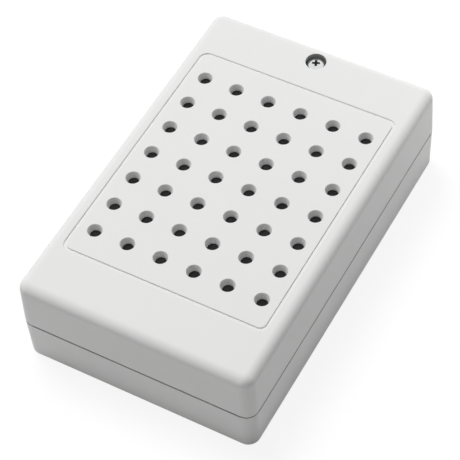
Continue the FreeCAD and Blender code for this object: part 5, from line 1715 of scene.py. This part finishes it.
    def printed_box(self, low: Vector, high: Vector) -> BMesh:
        """One printed rectangle, a thin frame of ink on the board.

        Args:
            low: Its lowest corner.
            high: Its highest corner.

        Returns:
            The frame.
        """
        bm = bmesh.new()
        bmesh.ops.create_grid(bm, x_segments=1, y_segments=1, size=0.5)
        bmesh.ops.scale(bm, vec=(high.x - low.x, high.y - low.y, 1.0), verts=bm.verts)
        inset = bmesh.ops.inset_region(bm, faces=bm.faces[:], thickness=self.ink_line, use_boundary=True,
                                       use_even_offset=True)
        keep = set(inset["faces"])
        bmesh.ops.delete(bm, geom=[f for f in bm.faces if f not in keep], context="FACES")
        bmesh.ops.solidify(bm, geom=bm.faces[:], thickness=self.ink)
        lowest = min(v.co.z for v in bm.verts)
        spot = (low + high) / 2
        return moved(cleaned(bm), Vector((spot.x, spot.y, self.top - lowest)))

    def joints(self) -> None:
        """Solder cones under the board, one on each lead that comes through."""
        chip = middle("amplifier_chip")[2]
        out = (self.chip_span + self.leg_thick) / 2
        spots = [(x + side * self.resistor_reach / 2, y) for x, y in self.resistor_places for side in (-1, 1)]
        spots += [(chip.x + across, chip.y + side * out) for across, side in self.leg_places()]
        profile = [(0.0, -self.lead_stub), *self.solder_form, (0.0, 0.0)]
        parts = [moved(lathe(profile, segments=20), Vector((x, y, self.under))) for x, y in spots]
        settle("solder_joints", gathered(parts), [SOLDER], body="base")


# Terminal block


@dataclass
class TerminalBlock:
    """The three-way rising clamp terminal."""

    ways: int = 3
    screw: Screw = field(default_factory=lambda: Screw(
        head=3.6 * MM, height=1.1 * MM, shank=2.6 * MM, length=4.3 * MM, pitch=0.5 * MM,
        drive=Drive.SLOT, core_share=0.8, drive_width=0.7 * MM, drive_depth=0.7 * MM))

    def build(self) -> None:
        """Builds the housing, the contacts, and each way's clamp and screw."""
        edged("terminal_housing", "terminal_block", TERMINAL_GREEN, width=0.12 * MM)
        edged("contact_bars", "terminal_contacts", TINNED, width=0.05 * MM, segments=1)
        for way in range(1, self.ways + 1):
            edged(f"rising_clamp_{way}", f"terminal_clamp_{way}", PLATED_STEEL, width=0.06 * MM, segments=1)
            node = f"terminal_screw_{way}"
            seat = self.screw.seat(node)
            screw = replace(self.screw, length=seat.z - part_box(node)[0].z)
            settle(f"clamping_screw_{way}", moved(screw.mesh(), seat), [YELLOW_ZINC, SCREW_SHADE], node)


# Leads


@dataclass
class SpeakerLeads:
    """The two short leads from the solder tags to the plug."""

    diameter: float = 1.2 * MM
    bare: float = 1.1 * MM
    routes: dict[str, tuple[tuple[float, float, float], ...]] = field(default_factory=lambda: {
        "speaker_lead_red": ((-6.635, -23.097, 19.2), (-7.759, -25.878, 19.2), (-8.355, -31.889, 18.7),
                             (-10.75, -37.9, 15.8), (-10.75, -37.9, 12.8)),
        "speaker_lead_black": ((-11.271, -21.223, 19.2), (-12.395, -24.005, 19.2), (-13.723, -30.953, 19.5),
                               (-13.25, -37.9, 15.8), (-13.25, -37.9, 12.8)),
    })

    def build(self) -> None:
        """Builds both leads with their bare ends."""
        for node, finish in (("speaker_lead_red", LEAD_RED), ("speaker_lead_black", LEAD_BLACK)):
            line = self.smooth_line([Vector(point) * MM for point in self.routes[node]])
            reach, stripped = 0.0, 0
            while reach < self.bare:
                reach += (line[stripped + 1] - line[stripped]).length
                stripped += 1
            jacket = wire_along(line[stripped:], self.diameter)
            strand = finished_with(wire_along(line[:stripped + 2], self.diameter * 0.5), 1)
            name = node.replace("speaker_lead", "jacketed_lead")
            settle(name, gathered([jacket, strand]), [finish, TINNED], node)

    def smooth_line(self, points: Sequence[Vector]) -> list[Vector]:
        """Points read from the NURBS spline that a route's points steer.

        Args:
            points: The route's points.

        Returns:
            Close points along the smooth line.
        """
        mesh = curve_mesh(points, "NURBS", resolution_u=12)
        line = [vert.co.copy() for vert in mesh.vertices]
        bpy.data.meshes.remove(mesh)
        return line


# Studio


def grey(tone: float) -> tuple[float, float, float, float]:
    """An opaque grey."""
    return (tone, tone, tone, 1.0)


@dataclass
class Studio:
    """A pale floor, soft overhead light and the camera of the photograph."""

    focal_pixels: float = 1896.0
    frame_pixels: float = 460.0
    sensor: float = 36.0
    place: tuple[float, float, float] = (0.1698, -0.2710, 0.4238)
    right: tuple[float, float, float] = (0.87668, 0.47844, -0.05025)
    down: tuple[float, float, float] = (0.35287, -0.71052, -0.6088)
    forward: tuple[float, float, float] = (-0.32698, 0.51599, -0.79173)
    floor_reach: float = 3.0
    floor_drop: float = 0.05 * MM
    floor_tone: float = 0.73
    floor_glow: float = 0.86
    floor_pale: float = 0.16
    ambient: float = 0.32
    key_power: float = 19.5
    key_size: float = 0.7
    key_place: tuple[float, float, float] = (-0.56, 0.36, 1.46)
    edge_power: float = 0.017
    edge_size: float = 0.05
    edge_place: tuple[float, float, float] = (0.072, 0.122, 0.052)
    card_place: tuple[float, float, float] = (0.30, -0.14, 0.13)
    card_width: float = 0.44
    card_height: float = 0.26
    card_tone: float = 0.04

    def build(self) -> None:
        """Builds the floor, the world, the lamps, the card and the camera."""
        self.floor()
        self.world()
        self.lamp("window", self.key_place, self.key_size, self.key_power)
        self.lamp("far_edge", self.edge_place, self.edge_size, self.edge_power)
        self.card()
        self.camera()

    def seen_directly(self, tree: Tree) -> Socket:
        """A mask that is 1 for camera, mirror and glass rays.

        Args:
            tree: The tree it goes into.

        Returns:
            The mask's socket.
        """
        path = added(tree, "LightPath", {}).outputs
        glossy = math_node(tree, "MAXIMUM", path["Is Camera Ray"], path["Is Glossy Ray"])
        return math_node(tree, "MAXIMUM", glossy, path["Is Transmission Ray"])

    def floor(self) -> None:
        """A pale floor that keeps the shadow, looks white, and can be seen through from below."""
        bm = bmesh.new()
        bmesh.ops.create_grid(bm, x_segments=1, y_segments=1, size=self.floor_reach)
        bmesh.ops.translate(bm, vec=-UP * self.floor_drop, verts=bm.verts)
        floor = linked("floor", mesh_of("floor", bm))
        made = bpy.data.materials.new("floor_paper")
        made.use_nodes = True
        tree = made.node_tree
        tree.nodes.clear()
        plain = added(tree, "BsdfDiffuse", {"Color": grey(self.floor_tone)}).outputs[0]
        pale = added(tree, "BsdfDiffuse", {"Color": grey(self.floor_pale)}).outputs[0]
        glow = added(tree, "Emission", {"Strength": self.floor_glow}).outputs[0]
        lifted = added(tree, "AddShader", {0: pale, 1: glow}).outputs[0]
        seen = added(tree, "MixShader", {0: self.seen_directly(tree), 1: plain, 2: lifted}).outputs[0]
        behind = added(tree, "NewGeometry", {}).outputs["Backfacing"]
        clear = added(tree, "BsdfTransparent", {}).outputs[0]
        sided = added(tree, "MixShader", {0: behind, 1: seen, 2: clear}).outputs[0]
        added(tree, "OutputMaterial", {"Surface": sided})
        floor.data.materials.append(made)

    def card(self) -> None:
        """A dark card out of sight at the near corner, which deepens the shade there."""
        bm = bmesh.new()
        bmesh.ops.create_grid(bm, x_segments=1, y_segments=1, size=0.5)
        bmesh.ops.scale(bm, vec=(self.card_width, self.card_height, 1.0), verts=bm.verts)
        facing = Vector((self.card_place[0], self.card_place[1], 0.0)).to_track_quat("Z", "Y")
        bmesh.ops.transform(bm, matrix=Matrix.Translation(self.card_place) @ facing.to_matrix().to_4x4(),
                            verts=bm.verts)
        card = linked("dark_card", mesh_of("dark_card", bm))
        made = bpy.data.materials.new("card_black")
        made.use_nodes = True
        shader = made.node_tree.nodes["Principled BSDF"].inputs
        shader["Base Color"].default_value = grey(self.card_tone)
        shader["Roughness"].default_value = 1.0
        card.data.materials.append(made)
        card.visible_camera = False

    def world(self) -> None:
        """White to look at, and a soft even fill for the object."""
        world = bpy.data.worlds.new("studio")
        bpy.context.scene.world = world
        world.use_nodes = True
        tree = world.node_tree
        back = tree.nodes["Background"].inputs
        back["Color"].default_value = grey(1.0)
        strength = math_node(tree, "MULTIPLY_ADD", self.seen_directly(tree), 1.0 - self.ambient, self.ambient)
        tree.links.new(strength, back["Strength"])

    def lamp(self, name: str, place: Sequence[float], size: float, power: float) -> None:
        """A square soft light that faces the object.

        Args:
            name: Its name.
            place: Where it hangs.
            size: Its side.
            power: In watts.
        """
        data = bpy.data.lights.new(name, "AREA")
        data.size = size
        data.energy = power
        light = linked(name, data)
        light.visible_glossy = False
        light.visible_camera = False
        light.location = place
        light.rotation_mode = "QUATERNION"
        light.rotation_quaternion = (-Vector(place)).to_track_quat("-Z", "Y")

    def camera(self) -> None:
        """The photograph's viewpoint, from the corners of the case measured in it."""
        data = bpy.data.cameras.new("view")
        data.sensor_width = self.sensor
        data.lens = self.focal_pixels * self.sensor / self.frame_pixels
        data.clip_start = 0.01
        camera = linked("view", data)
        axes = (Vector(self.right), -Vector(self.down), -Vector(self.forward))
        turn = Matrix(axes).transposed().to_4x4()
        camera.matrix_world = Matrix.Translation(self.place) @ turn
        bpy.context.scene.camera = camera


def main() -> None:
    """Builds the sub-assemblies in order and sets up the picture."""
    logging.basicConfig(level=logging.INFO, format="%(message)s")
    for assembly in (Case(), CoverFixing(), Loudspeaker(), AmplifierBoard(), TerminalBlock(), SpeakerLeads()):
        assembly.build()
    Studio().build()
    bpy.context.scene.view_settings.view_transform = "Standard"


if __name__ == "__main__":
    main()
